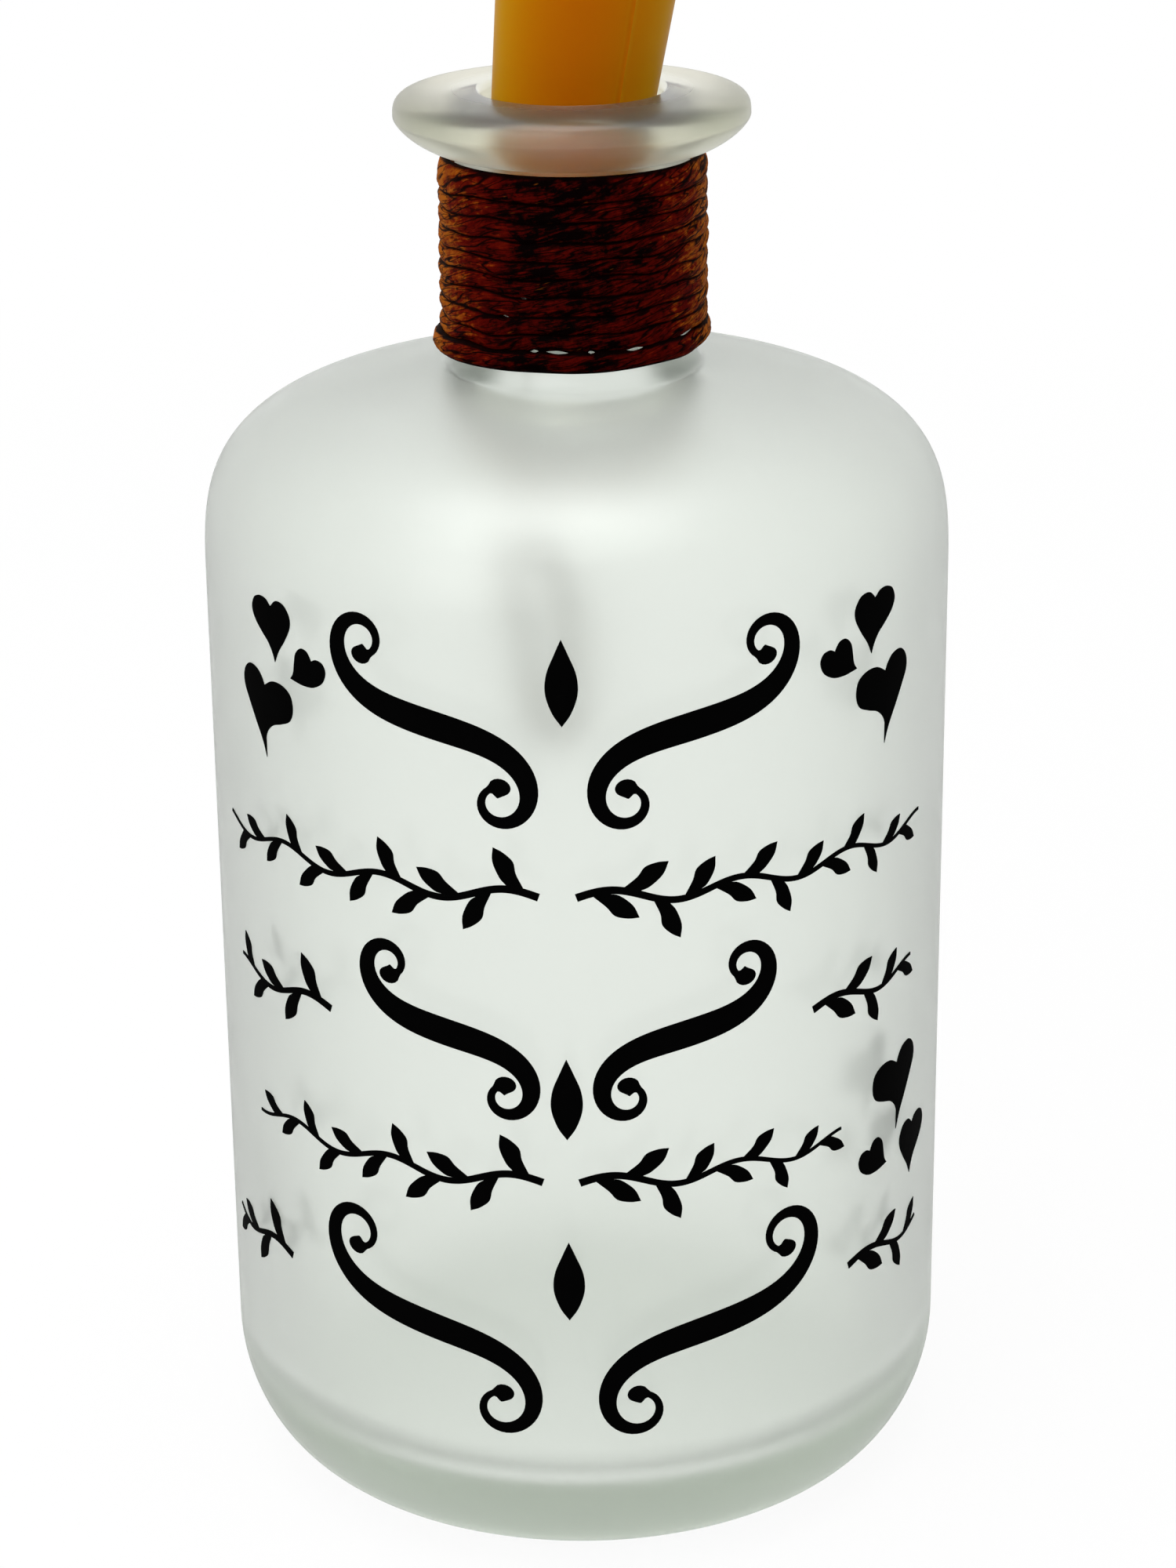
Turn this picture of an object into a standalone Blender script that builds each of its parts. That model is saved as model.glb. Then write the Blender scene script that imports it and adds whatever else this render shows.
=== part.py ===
"""Frosted glass bottle light.

An apothecary bottle with a paper cord wound round its neck, black cut-film decoration on its
wall, and a battery stopper that carries a folded string of micro lights inside the glass.
Metres, +Z up, origin at the centre of the flat ring that the bottle stands on. The decorated
front faces -Y.
"""

import math

import bmesh
import bpy
from mathutils import Matrix, Vector

# Clearances
SEAT_GAP = 0.0003
SLIDE_GAP = 0.0003
CUT_OVERRUN = 0.001

# Glass bottle, outside
BODY_RADIUS = 0.042
HEEL_WIDTH = 0.0098
HEEL_HEIGHT = 0.0146
HEEL_POWER = 1.9
FOOT_RING_WIDTH = 0.003
PUNT_DEPTH = 0.0025
WALL_TOP = 0.1061
SHOULDER_HEIGHT = 0.0201
SHOULDER_RISE = 0.0048
SHOULDER_POWER = 3.8
NECK_RADIUS = 0.0129
NECK_ROOT_WIDTH = 0.0021
NECK_ROOT_HEIGHT = 0.0045
NECK_LENGTH = 0.0236
LIP_ROOT_WIDTH = 0.0013
LIP_ROOT_HEIGHT = 0.0004
LIP_OVERHANG = 0.00536
LIP_UNDERSIDE = 0.00368
LIP_UNDERSIDE_POWER = 1.43
LIP_TOPSIDE = 0.00276
LIP_TOPSIDE_POWER = 3.3

# Glass bottle, inside
GLASS_WALL = 0.0042
BASE_THICKNESS = 0.007
INNER_HEEL_WIDTH = 0.0118
INNER_HEEL_HEIGHT = 0.012
BORE_RADIUS = 0.0098
RIM_ROUNDING = 0.0009

# Paper cord round the neck
CORD_DIAMETER = 0.00158
CORD_TURN_GAP = 0.00042
CORD_TURNS = 10
CORD_LOOSE_TURNS = 1.25
CORD_LOOSE_REACH = 0.0006

# Cut film decoration
FILM_THICKNESS = 0.0002
FILM_FACET = 0.003
FILM_FIELD_RISE = 0.0039
ORNAMENT_SHIFT = 0.0018
LEFT = -1
RIGHT = 1

# Hearts: a round lobe and a narrow lobe with a bent tail. Shares of the heart's width and height
# for the way from the notch round the round lobe to the tip, and back up the narrow lobe.
SLIM_HEART_WIDTH = 0.0070
SLIM_HEART_HEIGHT = 0.0070
SMALL_HEART_WIDTH = 0.0055
SMALL_HEART_HEIGHT = 0.0041
LARGE_HEART_WIDTH = 0.0095
LARGE_HEART_HEIGHT = 0.0100
SLIM_HEART_SHARES = (
    ((0.52, 0.88), (0.67, 1.00), (0.87, 0.97), (1.00, 0.80), (0.99, 0.62), (0.86, 0.40),
     (0.70, 0.19), (0.60, 0.00)),
    ((0.60, 0.00), (0.54, 0.14), (0.43, 0.29), (0.26, 0.42), (0.08, 0.58), (0.00, 0.75),
     (0.07, 0.92), (0.23, 0.99), (0.40, 0.97), (0.52, 0.88)),
)
SMALL_HEART_SHARES = (
    ((0.62, 0.74), (0.75, 0.81), (0.92, 0.75), (1.00, 0.52), (0.91, 0.22), (0.67, 0.03),
     (0.38, 0.00), (0.16, 0.04), (0.00, 0.08)),
    ((0.00, 0.08), (0.09, 0.26), (0.13, 0.55), (0.18, 0.82), (0.32, 1.00), (0.48, 0.98),
     (0.57, 0.86), (0.62, 0.74)),
)
LARGE_HEART_SHARES = (
    ((0.46, 0.83), (0.62, 0.91), (0.81, 0.91), (0.96, 0.83), (1.00, 0.67), (0.94, 0.53),
     (0.79, 0.46), (0.61, 0.40), (0.49, 0.30), (0.45, 0.18), (0.46, 0.00)),
    ((0.46, 0.00), (0.38, 0.18), (0.24, 0.38), (0.10, 0.58), (0.00, 0.74), (0.01, 0.89),
     (0.13, 1.00), (0.30, 0.99), (0.41, 0.91), (0.46, 0.83)),
)

# Groups of hearts: for the slim, the small and the large heart, shares of a quarter turn round
# the glass from the front and of the height of the film's field
HEART_PLACE_SHARES = (
    ("upper_left", LEFT, (0.574, 0.986), (0.482, 0.959), (0.593, 0.895)),
    ("upper_right", RIGHT, (0.547, 0.992), (0.458, 0.966), (0.571, 0.906)),
    ("lower_right", RIGHT, (0.708, 0.391), (0.566, 0.410), (0.633, 0.470)),
)

# Scrolls: a thick and thin stroke with a ball at each curled end. Shares of the field's height
# for the row, and of the body's radius for the reach from the middle and the stroke's length.
SCROLL_THIN = 0.0007
SCROLL_THICK = 0.0032
SCROLL_BALL_RADIUS = 0.0011
SCROLL_CURL = math.radians(400)
SCROLL_HEADING = math.radians(12)
SCROLL_POWER = 2.6
SCROLL_PLACE_SHARES = (
    ("top", 0.929, 0.345, 1.262),
    ("middle", 0.609, 0.317, 1.095),
    ("bottom", 0.282, 0.393, 1.429),
)

# Drops: a pointed leaf between the two scrolls of a row. Shares of its width and height for its
# right edge, and of the field's height for each drop's middle.
DROP_WIDTH = 0.0034
DROP_HEIGHT = 0.0096
DROP_EDGE_SHARES = (
    (0.0, 0.0), (0.30, 0.16), (0.50, 0.38), (0.46, 0.60), (0.22, 0.82), (0.0, 1.0))
DROP_PLACE_SHARES = (("top", 0.977), ("middle", 0.545), ("bottom", 0.345))

# Vines: a waving stem with leaves on alternate sides. Shares of a leaf's length and width for
# its outline; shares of the body's radius for where a vine starts round the glass and for its
# length, and of the field's height for its height.
VINE_STEM_WIDTH = 0.0009
VINE_TIP_SHARE = 0.4
VINE_STATION = 0.0017
VINE_WAVE = 0.0008
VINE_WAVE_LENGTH = 0.0144
LEAF_LENGTH = 0.0050
LEAF_WIDTH = 0.0024
LEAF_LEAN = math.radians(48)
LEAF_TIP_SHARE = 0.65
LEAF_EDGE_SHARES = (
    (0.25, 0.34), (0.52, 0.50), (0.80, 0.30), (1.0, 0.0), (0.72, -0.34), (0.34, -0.42))
VINE_PLACE_SHARES = (
    ("upper_left", LEFT, -0.107, 0.759, 1.071),
    ("upper_right", RIGHT, -0.012, 0.759, 1.119),
    ("lower_left", LEFT, -0.107, 0.4545, 0.952),
    ("lower_right", RIGHT, -0.012, 0.4545, 0.762),
    ("side_left", LEFT, -0.714, 0.6045, 0.429),
    ("side_right", RIGHT, 0.643, 0.6045, 0.429),
    ("foot_left", LEFT, -0.917, 0.300, 0.357),
    ("foot_right", RIGHT, 0.786, 0.300, 0.357),
)

# Stopper, along its own axis from the mouth of the bottle
STOPPER_TILT = math.radians(7.3)
STOPPER_TAPER = math.radians(4.0)
STOPPER_OFFSET = 0.0003
STOPPER_MOUTH_RADIUS = 0.009
STOPPER_DEPTH = 0.014
STOPPER_STAND = 0.028
SHELL_WALL = 0.0012
SHELL_FLOOR = 0.0016
SHELL_FOOT_ROUNDING = 0.0006
CAP_HEIGHT = 0.008
CAP_ROOF = 0.0016
CAP_ROUNDING = 0.001
CAP_SKIRT = 0.004
CAP_SKIRT_WALL = 0.0011

# Wire gland in the stopper's floor
GLAND_HOLE_RADIUS = 0.0012
GLAND_HEAD_RADIUS = 0.0019
GLAND_HEAD_HEIGHT = 0.0007

# Button cells and their holder
CELL_RADIUS = 0.0058
CELL_HEIGHT = 0.0054
CELL_POLE_RADIUS = 0.0045
CELL_POLE_HEIGHT = 0.0006
CELL_ROUNDING = 0.0004
CELL_COUNT = 3
HOLDER_BASE = 0.003
HOLDER_WALL = 0.0011
HOLDER_FLOOR = 0.001
CONTACT_THICKNESS = 0.0003
CONTACT_RADIUS = 0.0045
STRIP_WIDTH = 0.002
LEAD_DIAMETER = 0.0006
LEAD_RISE_SHARE = 0.33
LEAD_BEND_SHARE = 0.92
SPRING_WIRE = 0.0005
SPRING_RADIUS = 0.0036
SPRING_TOP_RADIUS = 0.0020
SPRING_HEIGHT = 0.0026
SPRING_TURNS = 2

# Circuit board and slide switch
BOARD_RADIUS = 0.0073
BOARD_THICKNESS = 0.001
SWITCH_LENGTH = 0.007
SWITCH_WIDTH = 0.0036
SWITCH_HEIGHT = 0.0032
SLIDER_LENGTH = 0.0056
SLIDER_WIDTH = 0.0034
SLIDER_PLATE = 0.0008
NUB_LENGTH = 0.0024
NUB_WIDTH = 0.003
NUB_STAND = 0.0006
SWITCH_TRAVEL = 0.002

# Light string, folded into a hank inside the bottle
WIRE_DIAMETER = 0.0004
WIRE_STEP = 0.00095
HANK_RUN = 0.0205
HANK_FOLD_RADIUS = 0.0012
HANK_LEAD_START_GAP = 0.0006
HANK_LEAD_BEND = 0.0045
HANK_LEAD_RISE = 0.006
HANK_LEAD_INSET = 0.0012
HANK_TAIL = 0.0068
HANK_LAYERS = 4
HANK_TURNS_PER_LAYER = 3
HANK_OFFSET = 0.0038
HANK_CENTRE_HEIGHT = 0.1004
HANK_TILT = math.radians(7.3)
BEAD_RADIUS = 0.0006
BEAD_LENGTH = 0.0034
BEAD_BORE_GAP = 0.00015
BEAD_END_WALL = 0.00005

# Facets
ROUND_STEPS = 36
SMALL_ROUND_STEPS = 24
TINY_ROUND_STEPS = 8
LOOP_POINTS = 24
CURL_POINTS = 10
SCROLL_STEPS = 14
SCROLL_SUBSTEPS = 6
SCROLL_CROWDING = 1.5
TUBE_RESOLUTION = 1
LEAD_RESOLUTION = 2
MERGE_DISTANCE = 0.000002
PUNT_SHARES = (0.0, 0.4, 0.75, 1.0)

# Points along one straight run and one fold of the hank, and the beads on it: the run that each
# bead sits on, counted from the start, and the part of that run
RUN_PARTS = LOOP_POINTS // 6
FOLD_PARTS = LOOP_POINTS // 2 - RUN_PARTS
BEAD_RUNS = (1, 4, 7, 11, 14, 19, 22)
BEAD_PARTS = (1, 3, 0, 2, 1, 3, 3)

# Worked out from the sizes above
SHOULDER_TOP = WALL_TOP + SHOULDER_HEIGHT + SHOULDER_RISE
NECK_TOP = SHOULDER_TOP + NECK_LENGTH
LIP_MIDDLE = NECK_TOP + LIP_ROOT_HEIGHT + LIP_UNDERSIDE
BOTTLE_HEIGHT = LIP_MIDDLE + LIP_TOPSIDE
FILM_FIELD_HEIGHT = WALL_TOP + FILM_FIELD_RISE
LIP_FLAT_RADIUS = NECK_RADIUS + LIP_ROOT_WIDTH
FOOT_OUTER_RADIUS = BODY_RADIUS - HEEL_WIDTH
FOOT_INNER_RADIUS = FOOT_OUTER_RADIUS - FOOT_RING_WIDTH
STOPPER_BOTTOM = -STOPPER_DEPTH
CAP_BOTTOM = STOPPER_STAND - CAP_HEIGHT
HOLDER_INNER_RADIUS = CELL_RADIUS + SEAT_GAP
HOLDER_OUTER_RADIUS = HOLDER_INNER_RADIUS + HOLDER_WALL
HOLDER_BOTTOM = -HOLDER_BASE


def clear_scene():
    for thing in list(bpy.data.objects):
        bpy.data.objects.remove(thing, do_unlink=True)


def make_material(name, colour, roughness, metallic=0.0, transmission=0.0):
    material = bpy.data.materials.new(name)
    material.use_nodes = True
    shader = material.node_tree.nodes["Principled BSDF"]
    shader.inputs["Base Color"].default_value = (*colour, 1.0)
    shader.inputs["Roughness"].default_value = roughness
    shader.inputs["Metallic"].default_value = metallic
    shader.inputs["Transmission Weight"].default_value = transmission
    return material


def add_object(name, data, material, parent=None):
    thing = bpy.data.objects.new(name, data)
    bpy.context.scene.collection.objects.link(thing)
    if material:
        data.materials.append(material)
    thing.parent = parent
    return thing


def add_mesh(name, shape, material, parent=None, smooth_angle=None):
    bmesh.ops.recalc_face_normals(shape, faces=shape.faces[:])
    mesh = bpy.data.meshes.new(name)
    shape.to_mesh(mesh)
    shape.free()
    if smooth_angle:
        mesh.shade_smooth()
        mesh.set_sharp_from_angle(angle=smooth_angle)
    return add_object(name, mesh, material, parent)


def ellipse_points(centre, radii, start, end, steps, power=2.0):
    """Points (radius, height) along part of an ellipse, squarer where the power is above two."""
    points = []
    for index in range(steps + 1):
        angle = math.radians(start + (end - start) * index / steps)
        across, up = math.cos(angle), math.sin(angle)
        bow = 2.0 / power
        points.append((
            centre[0] + radii[0] * math.copysign(abs(across) ** bow, across),
            centre[1] + radii[1] * math.copysign(abs(up) ** bow, up),
        ))
    return points


def turned(name, profile, material, parent=None, steps=SMALL_ROUND_STEPS, smooth=35.0):
    """A round piece from its half section: from axis to axis, or closed where it has a bore."""
    shape = bmesh.new()
    corners = [shape.verts.new((radius, 0.0, height)) for radius, height in profile]
    edges = [shape.edges.new(pair) for pair in zip(corners, corners[1:])]
    if profile[0][0] > 0.0:
        edges.append(shape.edges.new((corners[-1], corners[0])))
    bmesh.ops.spin(
        shape,
        geom=corners + edges,
        cent=(0.0, 0.0, 0.0),
        axis=(0.0, 0.0, 1.0),
        angle=math.tau,
        steps=steps,
        use_merge=True,
    )
    bmesh.ops.remove_doubles(shape, verts=shape.verts[:], dist=MERGE_DISTANCE)
    return add_mesh(name, shape, material, parent, math.radians(smooth))


def block(name, low, high, material, parent=None):
    """A rectangular block between two corners."""
    shape = bmesh.new()
    bmesh.ops.create_cube(shape, size=1.0)
    size = [b - a for a, b in zip(low, high)]
    middle = [(a + b) / 2 for a, b in zip(low, high)]
    bmesh.ops.transform(shape, matrix=Matrix.LocRotScale(middle, None, size), verts=shape.verts)
    return add_mesh(name, shape, material, parent)


def cut(target, cutter):
    cutter.hide_render = True
    cutter.display_type = "WIRE"
    modifier = target.modifiers.new(cutter.name, "BOOLEAN")
    modifier.operation = "DIFFERENCE"
    modifier.object = cutter


def tube(name, points, diameter, material, parent=None, resolution=TUBE_RESOLUTION):
    """A round wire or cord along its points, with closed ends."""
    curve = bpy.data.curves.new(name, "CURVE")
    curve.dimensions = "3D"
    curve.bevel_depth = diameter / 2
    curve.bevel_resolution = resolution
    curve.use_fill_caps = True
    spline = curve.splines.new("POLY")
    spline.points.add(len(points) - 1)
    for target, point in zip(spline.points, points):
        target.co = (*point, 1.0)
    return add_object(name, curve, material, parent)


def smooth_path(knots, steps):
    """A smooth curve through hand-placed points."""
    knots = [Vector(knot) for knot in knots]
    ends = [knots[0] * 2 - knots[1], *knots, knots[-1] * 2 - knots[-2]]
    points = []
    for before, here, there, after in zip(ends, ends[1:], ends[2:], ends[3:]):
        for index in range(steps):
            share = index / steps
            points.append(0.5 * (
                2 * here
                + (there - before) * share
                + (2 * before - 5 * here + 4 * there - after) * share ** 2
                + (3 * here - before - 3 * there + after) * share ** 3
            ))
    points.append(knots[-1])
    return points


def path_length(points):
    return sum((b - a).length for a, b in zip(points, points[1:]))


def least_gap(points, diameter, apart):
    """The least clear distance between turns that lie more than a given length apart."""
    reached = [0.0]
    for a, b in zip(points, points[1:]):
        reached.append(reached[-1] + (b - a).length)
    nearest = math.inf
    for i, a in enumerate(points):
        for j in range(i + 1, len(points)):
            if reached[j] - reached[i] > apart:
                nearest = min(nearest, (points[j] - a).length)
    return nearest - diameter


# Glass bottle

def shoulder_points(inner_radius, outer_radius, height, steps):
    """The shoulder from the wall in to the neck: a squared oval on a shallow cone."""
    points = []
    for index in range(steps + 1):
        angle = math.pi / 2 * index / steps
        across = max(0.0, math.cos(angle)) ** (2.0 / SHOULDER_POWER)
        up = math.sin(angle) ** (2.0 / SHOULDER_POWER)
        points.append((
            inner_radius + (outer_radius - inner_radius) * across,
            WALL_TOP + height * up + SHOULDER_RISE * (1.0 - across),
        ))
    return points


def bottle_profile():
    """Half section of the glass, from the middle of the punt out, up, over the lip and back in."""
    inner_radius = BODY_RADIUS - GLASS_WALL
    punt = [
        (FOOT_INNER_RADIUS * share, PUNT_DEPTH * (1.0 - share ** 2))
        for share in PUNT_SHARES
    ]
    heel = ellipse_points(
        (FOOT_OUTER_RADIUS, HEEL_HEIGHT), (HEEL_WIDTH, HEEL_HEIGHT), -90, 0, 6, HEEL_POWER)
    shoulder = shoulder_points(NECK_RADIUS + NECK_ROOT_WIDTH, BODY_RADIUS, SHOULDER_HEIGHT, 12)
    root = ellipse_points(
        (NECK_RADIUS + NECK_ROOT_WIDTH, SHOULDER_TOP + NECK_ROOT_HEIGHT),
        (NECK_ROOT_WIDTH, NECK_ROOT_HEIGHT), 270, 180, 3)
    underside = ellipse_points(
        (LIP_FLAT_RADIUS, LIP_MIDDLE), (LIP_OVERHANG, LIP_UNDERSIDE), -90, 0, 4,
        LIP_UNDERSIDE_POWER)
    topside = ellipse_points(
        (LIP_FLAT_RADIUS, LIP_MIDDLE), (LIP_OVERHANG, LIP_TOPSIDE), 0, 90, 5,
        LIP_TOPSIDE_POWER)
    rim = ellipse_points(
        (BORE_RADIUS + RIM_ROUNDING, BOTTLE_HEIGHT - RIM_ROUNDING),
        (RIM_ROUNDING, RIM_ROUNDING), 90, 180, 2)
    inner_top = SHOULDER_TOP - GLASS_WALL
    inner_root = ellipse_points(
        (BORE_RADIUS + NECK_ROOT_WIDTH, inner_top + NECK_ROOT_HEIGHT),
        (NECK_ROOT_WIDTH, NECK_ROOT_HEIGHT), 180, 270, 3)
    inner_shoulder = shoulder_points(
        BORE_RADIUS + NECK_ROOT_WIDTH, inner_radius, SHOULDER_HEIGHT - GLASS_WALL, 9)[::-1]
    inner_heel = ellipse_points(
        (inner_radius - INNER_HEEL_WIDTH, BASE_THICKNESS + INNER_HEEL_HEIGHT),
        (INNER_HEEL_WIDTH, INNER_HEEL_HEIGHT), 0, -90, 4)
    return [
        *punt, *heel, *shoulder, *root[1:], (NECK_RADIUS, NECK_TOP),
        *underside, *topside[1:], *rim, *inner_root, *inner_shoulder[1:],
        *inner_heel, (0.0, BASE_THICKNESS),
    ]


def make_bottle(glass):
    turned("glass_bottle", bottle_profile(), glass, steps=ROUND_STEPS, smooth=40.0)


# Paper cord wound round the neck

def neck_surface_radius(height):
    """Radius of the glass at a height near the root of the neck."""
    below = (SHOULDER_TOP + NECK_ROOT_HEIGHT - height) / NECK_ROOT_HEIGHT
    if below <= 0.0:
        return NECK_RADIUS
    return NECK_RADIUS + NECK_ROOT_WIDTH * (1.0 - math.sqrt(max(0.0, 1.0 - below ** 2)))


def neck_cord_points():
    """Turns from under the lip down to the root of the neck, both ends at the back."""
    radius = CORD_DIAMETER / 2
    points = []
    for index in range(CORD_TURNS * LOOP_POINTS + 1):
        turn = index / LOOP_POINTS
        height = NECK_TOP - SEAT_GAP - radius - (CORD_DIAMETER + CORD_TURN_GAP) * turn
        angle = math.pi / 2 - math.tau * turn
        loose = max(0.0, (turn - CORD_TURNS + CORD_LOOSE_TURNS) / CORD_LOOSE_TURNS)
        reach = neck_surface_radius(height - radius) + SEAT_GAP + radius
        reach += CORD_LOOSE_REACH * math.sin(loose * math.pi / 2) ** 2
        points.append(Vector((reach * math.cos(angle), reach * math.sin(angle), height)))
    first = (points[0] - points[1]).normalized() * CORD_DIAMETER
    last = (points[-1] - points[-2]).normalized() * CORD_DIAMETER
    return [points[0] + first, *points, points[-1] + last]


def make_neck_cord(paper):
    points = neck_cord_points()
    tube("neck_cord", points, CORD_DIAMETER, paper)
    gap = least_gap(points, CORD_DIAMETER, NECK_RADIUS * math.pi)
    print(f"neck cord: {path_length(points):.4f} m, least gap to itself {gap * 1000:.3f} mm")


# Cut film decoration on the wall

def wrapped(across, height, lift):
    """A place on the wall, by the distance round the glass from the front and the height."""
    angle = across / BODY_RADIUS
    radius = BODY_RADIUS + lift
    return Vector((radius * math.sin(angle), -radius * math.cos(angle), height))


def film(name, flat, black):
    """A thin plate that follows the wall, from a flat shape of (across, height) places."""
    shape = bmesh.new()
    layers = []
    for lift in (SEAT_GAP, SEAT_GAP + FILM_THICKNESS):
        layers.append([shape.verts.new(wrapped(v.co.x, v.co.z, lift)) for v in flat.verts])
    inner, outer = layers
    flat.verts.index_update()
    for face in flat.faces:
        loop = [v.index for v in face.verts]
        shape.faces.new([outer[i] for i in loop])
        shape.faces.new([inner[i] for i in reversed(loop)])
    for edge in flat.edges:
        if len(edge.link_faces) == 1:
            a, b = (v.index for v in edge.verts)
            shape.faces.new((inner[a], inner[b], outer[b], outer[a]))
    flat.free()
    return add_mesh(name, shape, black)


def flat_outline(points):
    """A flat shape inside an outline, cut into strips narrow enough to follow the wall."""
    flat = bmesh.new()
    flat.faces.new([flat.verts.new((across, 0.0, height)) for across, height in points])
    bmesh.ops.triangulate(flat, faces=flat.faces[:], ngon_method="EAR_CLIP")
    low = min(across for across, height in points)
    high = max(across for across, height in points)
    strips = max(1, math.ceil((high - low) / FILM_FACET))
    for index in range(1, strips):
        place = low + (high - low) * index / strips
        bmesh.ops.bisect_plane(
            flat,
            geom=flat.verts[:] + flat.edges[:] + flat.faces[:],
            plane_co=(place, 0.0, 0.0),
            plane_no=(1.0, 0.0, 0.0),
        )
    return flat


def heart_outline(spans, width, height, centre, side):
    """The outline of a heart; the left side is the one that the shares are drawn for."""
    return [
        (centre[0] - side * (u - 0.5) * width, centre[1] + (v - 0.5) * height)
        for span in spans
        for u, v in span[:-1]
    ]


def make_hearts(black):
    kinds = (
        ("slim", SLIM_HEART_SHARES, SLIM_HEART_WIDTH, SLIM_HEART_HEIGHT),
        ("small", SMALL_HEART_SHARES, SMALL_HEART_WIDTH, SMALL_HEART_HEIGHT),
        ("large", LARGE_HEART_SHARES, LARGE_HEART_WIDTH, LARGE_HEART_HEIGHT),
    )
    quarter_round = BODY_RADIUS * math.pi / 2
    for group, side, *places in HEART_PLACE_SHARES:
        for (kind, spans, width, height), (round_share, up_share) in zip(kinds, places):
            centre = (side * quarter_round * round_share, FILM_FIELD_HEIGHT * up_share)
            outline = heart_outline(spans, width, height, centre, side)
            film(f"heart_{group}_{kind}", flat_outline(outline), black)


def scroll_share(index):
    """How far a station lies from the middle of a scroll to its end; they crowd at the ends."""
    return 1.0 - (1.0 - abs(index) / SCROLL_STEPS) ** SCROLL_CROWDING


def scroll_direction(share):
    return SCROLL_HEADING + SCROLL_CURL * share ** SCROLL_POWER


def scroll_line(length, side):
    """Stations along an S-scroll from end to end, each with its place and direction."""
    stations = {0: (Vector((0.0, 0.0)), SCROLL_HEADING)}
    for way in (1, -1):
        here = Vector((0.0, 0.0))
        reached = 0.0
        for index in range(1, SCROLL_STEPS + 1):
            stride = (scroll_share(index) - reached) / SCROLL_SUBSTEPS
            for part in range(SCROLL_SUBSTEPS):
                angle = scroll_direction(reached + (part + 0.5) * stride)
                step = Vector((math.cos(angle), math.sin(angle)))
                here = here + way * stride * length / 2 * step
            reached = scroll_share(index)
            stations[way * index] = (here, scroll_direction(reached))
    line = []
    for index in range(-SCROLL_STEPS, SCROLL_STEPS + 1):
        place, angle = stations[index]
        if side == LEFT:
            place, angle = Vector((-place.x, place.y)), math.pi - angle
        line.append((place, angle))
    return line


def ribbon(line, half_widths, centre):
    """A flat ribbon along its stations, with its two rows of corners."""
    flat = bmesh.new()
    rows = ([], [])
    for (place, angle), half in zip(line, half_widths):
        side = Vector((-math.sin(angle), math.cos(angle))) * half
        for row, sign in zip(rows, (1, -1)):
            spot = place + side * sign
            row.append(flat.verts.new((centre[0] + spot.x, 0.0, centre[1] + spot.y)))
    for index in range(len(line) - 1):
        flat.faces.new((
            rows[0][index], rows[1][index], rows[1][index + 1], rows[0][index + 1]))
    return flat, rows


def scroll_half_widths(length):
    """Half of the stroke's width at each station: thick in the middle, thin, then a ball."""
    halves = []
    for index in range(-SCROLL_STEPS, SCROLL_STEPS + 1):
        share = scroll_share(index)
        half = SCROLL_THIN / 2 + (SCROLL_THICK - SCROLL_THIN) / 2 * (1.0 - share ** 2) ** 2
        from_end = length / 2 * (1.0 - share)
        if from_end < 2 * SCROLL_BALL_RADIUS:
            ball = SCROLL_BALL_RADIUS ** 2 - (from_end - SCROLL_BALL_RADIUS) ** 2
            half = max(half, math.sqrt(max(ball, (SCROLL_THIN / 2) ** 2)))
        halves.append(half)
    return halves


def make_scrolls(black):
    for row, up_share, reach_share, length_share in SCROLL_PLACE_SHARES:
        length = BODY_RADIUS * length_share
        for name, side in (("left", LEFT), ("right", RIGHT)):
            across = side * BODY_RADIUS * reach_share - ORNAMENT_SHIFT
            line = scroll_line(length, side)
            middle = (across, FILM_FIELD_HEIGHT * up_share)
            flat = ribbon(line, scroll_half_widths(length), middle)[0]
            film(f"scroll_{row}_{name}", flat, black)


def make_drops(black):
    for row, up_share in DROP_PLACE_SHARES:
        low = FILM_FIELD_HEIGHT * up_share - DROP_HEIGHT / 2
        right = [(u * DROP_WIDTH, v * DROP_HEIGHT) for u, v in DROP_EDGE_SHARES]
        left = [(-across, up) for across, up in reversed(right[1:-1])]
        outline = [(across - ORNAMENT_SHIFT, low + up) for across, up in right + left]
        film(f"drop_{row}", flat_outline(outline), black)


def vine_stem(length, side):
    """Stations along the stem, thinning to its tip: place, direction and half width."""
    count = round(length / VINE_STATION)
    line = []
    halves = []
    for index in range(count + 1):
        along = length * index / count
        phase = math.tau * along / VINE_WAVE_LENGTH
        slope = VINE_WAVE * math.tau / VINE_WAVE_LENGTH * math.cos(phase)
        line.append((
            Vector((side * along, VINE_WAVE * math.sin(phase))), math.atan2(slope, side)))
        halves.append(VINE_STEM_WIDTH / 2 * (1.0 - (1.0 - VINE_TIP_SHARE) * index / count))
    return line, halves


def make_vines(black):
    for name, side, start_share, up_share, length_share in VINE_PLACE_SHARES:
        line, halves = vine_stem(BODY_RADIUS * length_share, side)
        start = (BODY_RADIUS * start_share, FILM_FIELD_HEIGHT * up_share)
        flat, rows = ribbon(line, halves, start)
        for number, index in enumerate(range(1, len(line) - 2, 2)):
            way = 1 if number % 2 else -1
            row = rows[0 if number % 2 else 1]
            base, beyond = row[index], row[index + 1]
            angle = line[index][1] + way * LEAF_LEAN
            size = 1.0 - (1.0 - LEAF_TIP_SHARE) * index / (len(line) - 1)
            along = Vector((math.cos(angle), 0.0, math.sin(angle))) * LEAF_LENGTH * size
            across = Vector((-math.sin(angle), 0.0, math.cos(angle))) * LEAF_WIDTH * size * way
            root = (base.co + beyond.co) / 2
            corners = [flat.verts.new(root + along * u + across * v) for u, v in LEAF_EDGE_SHARES]
            flat.faces.new((base, *corners, beyond))
        film(f"vine_{name}", flat, black)


# Stopper

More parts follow.
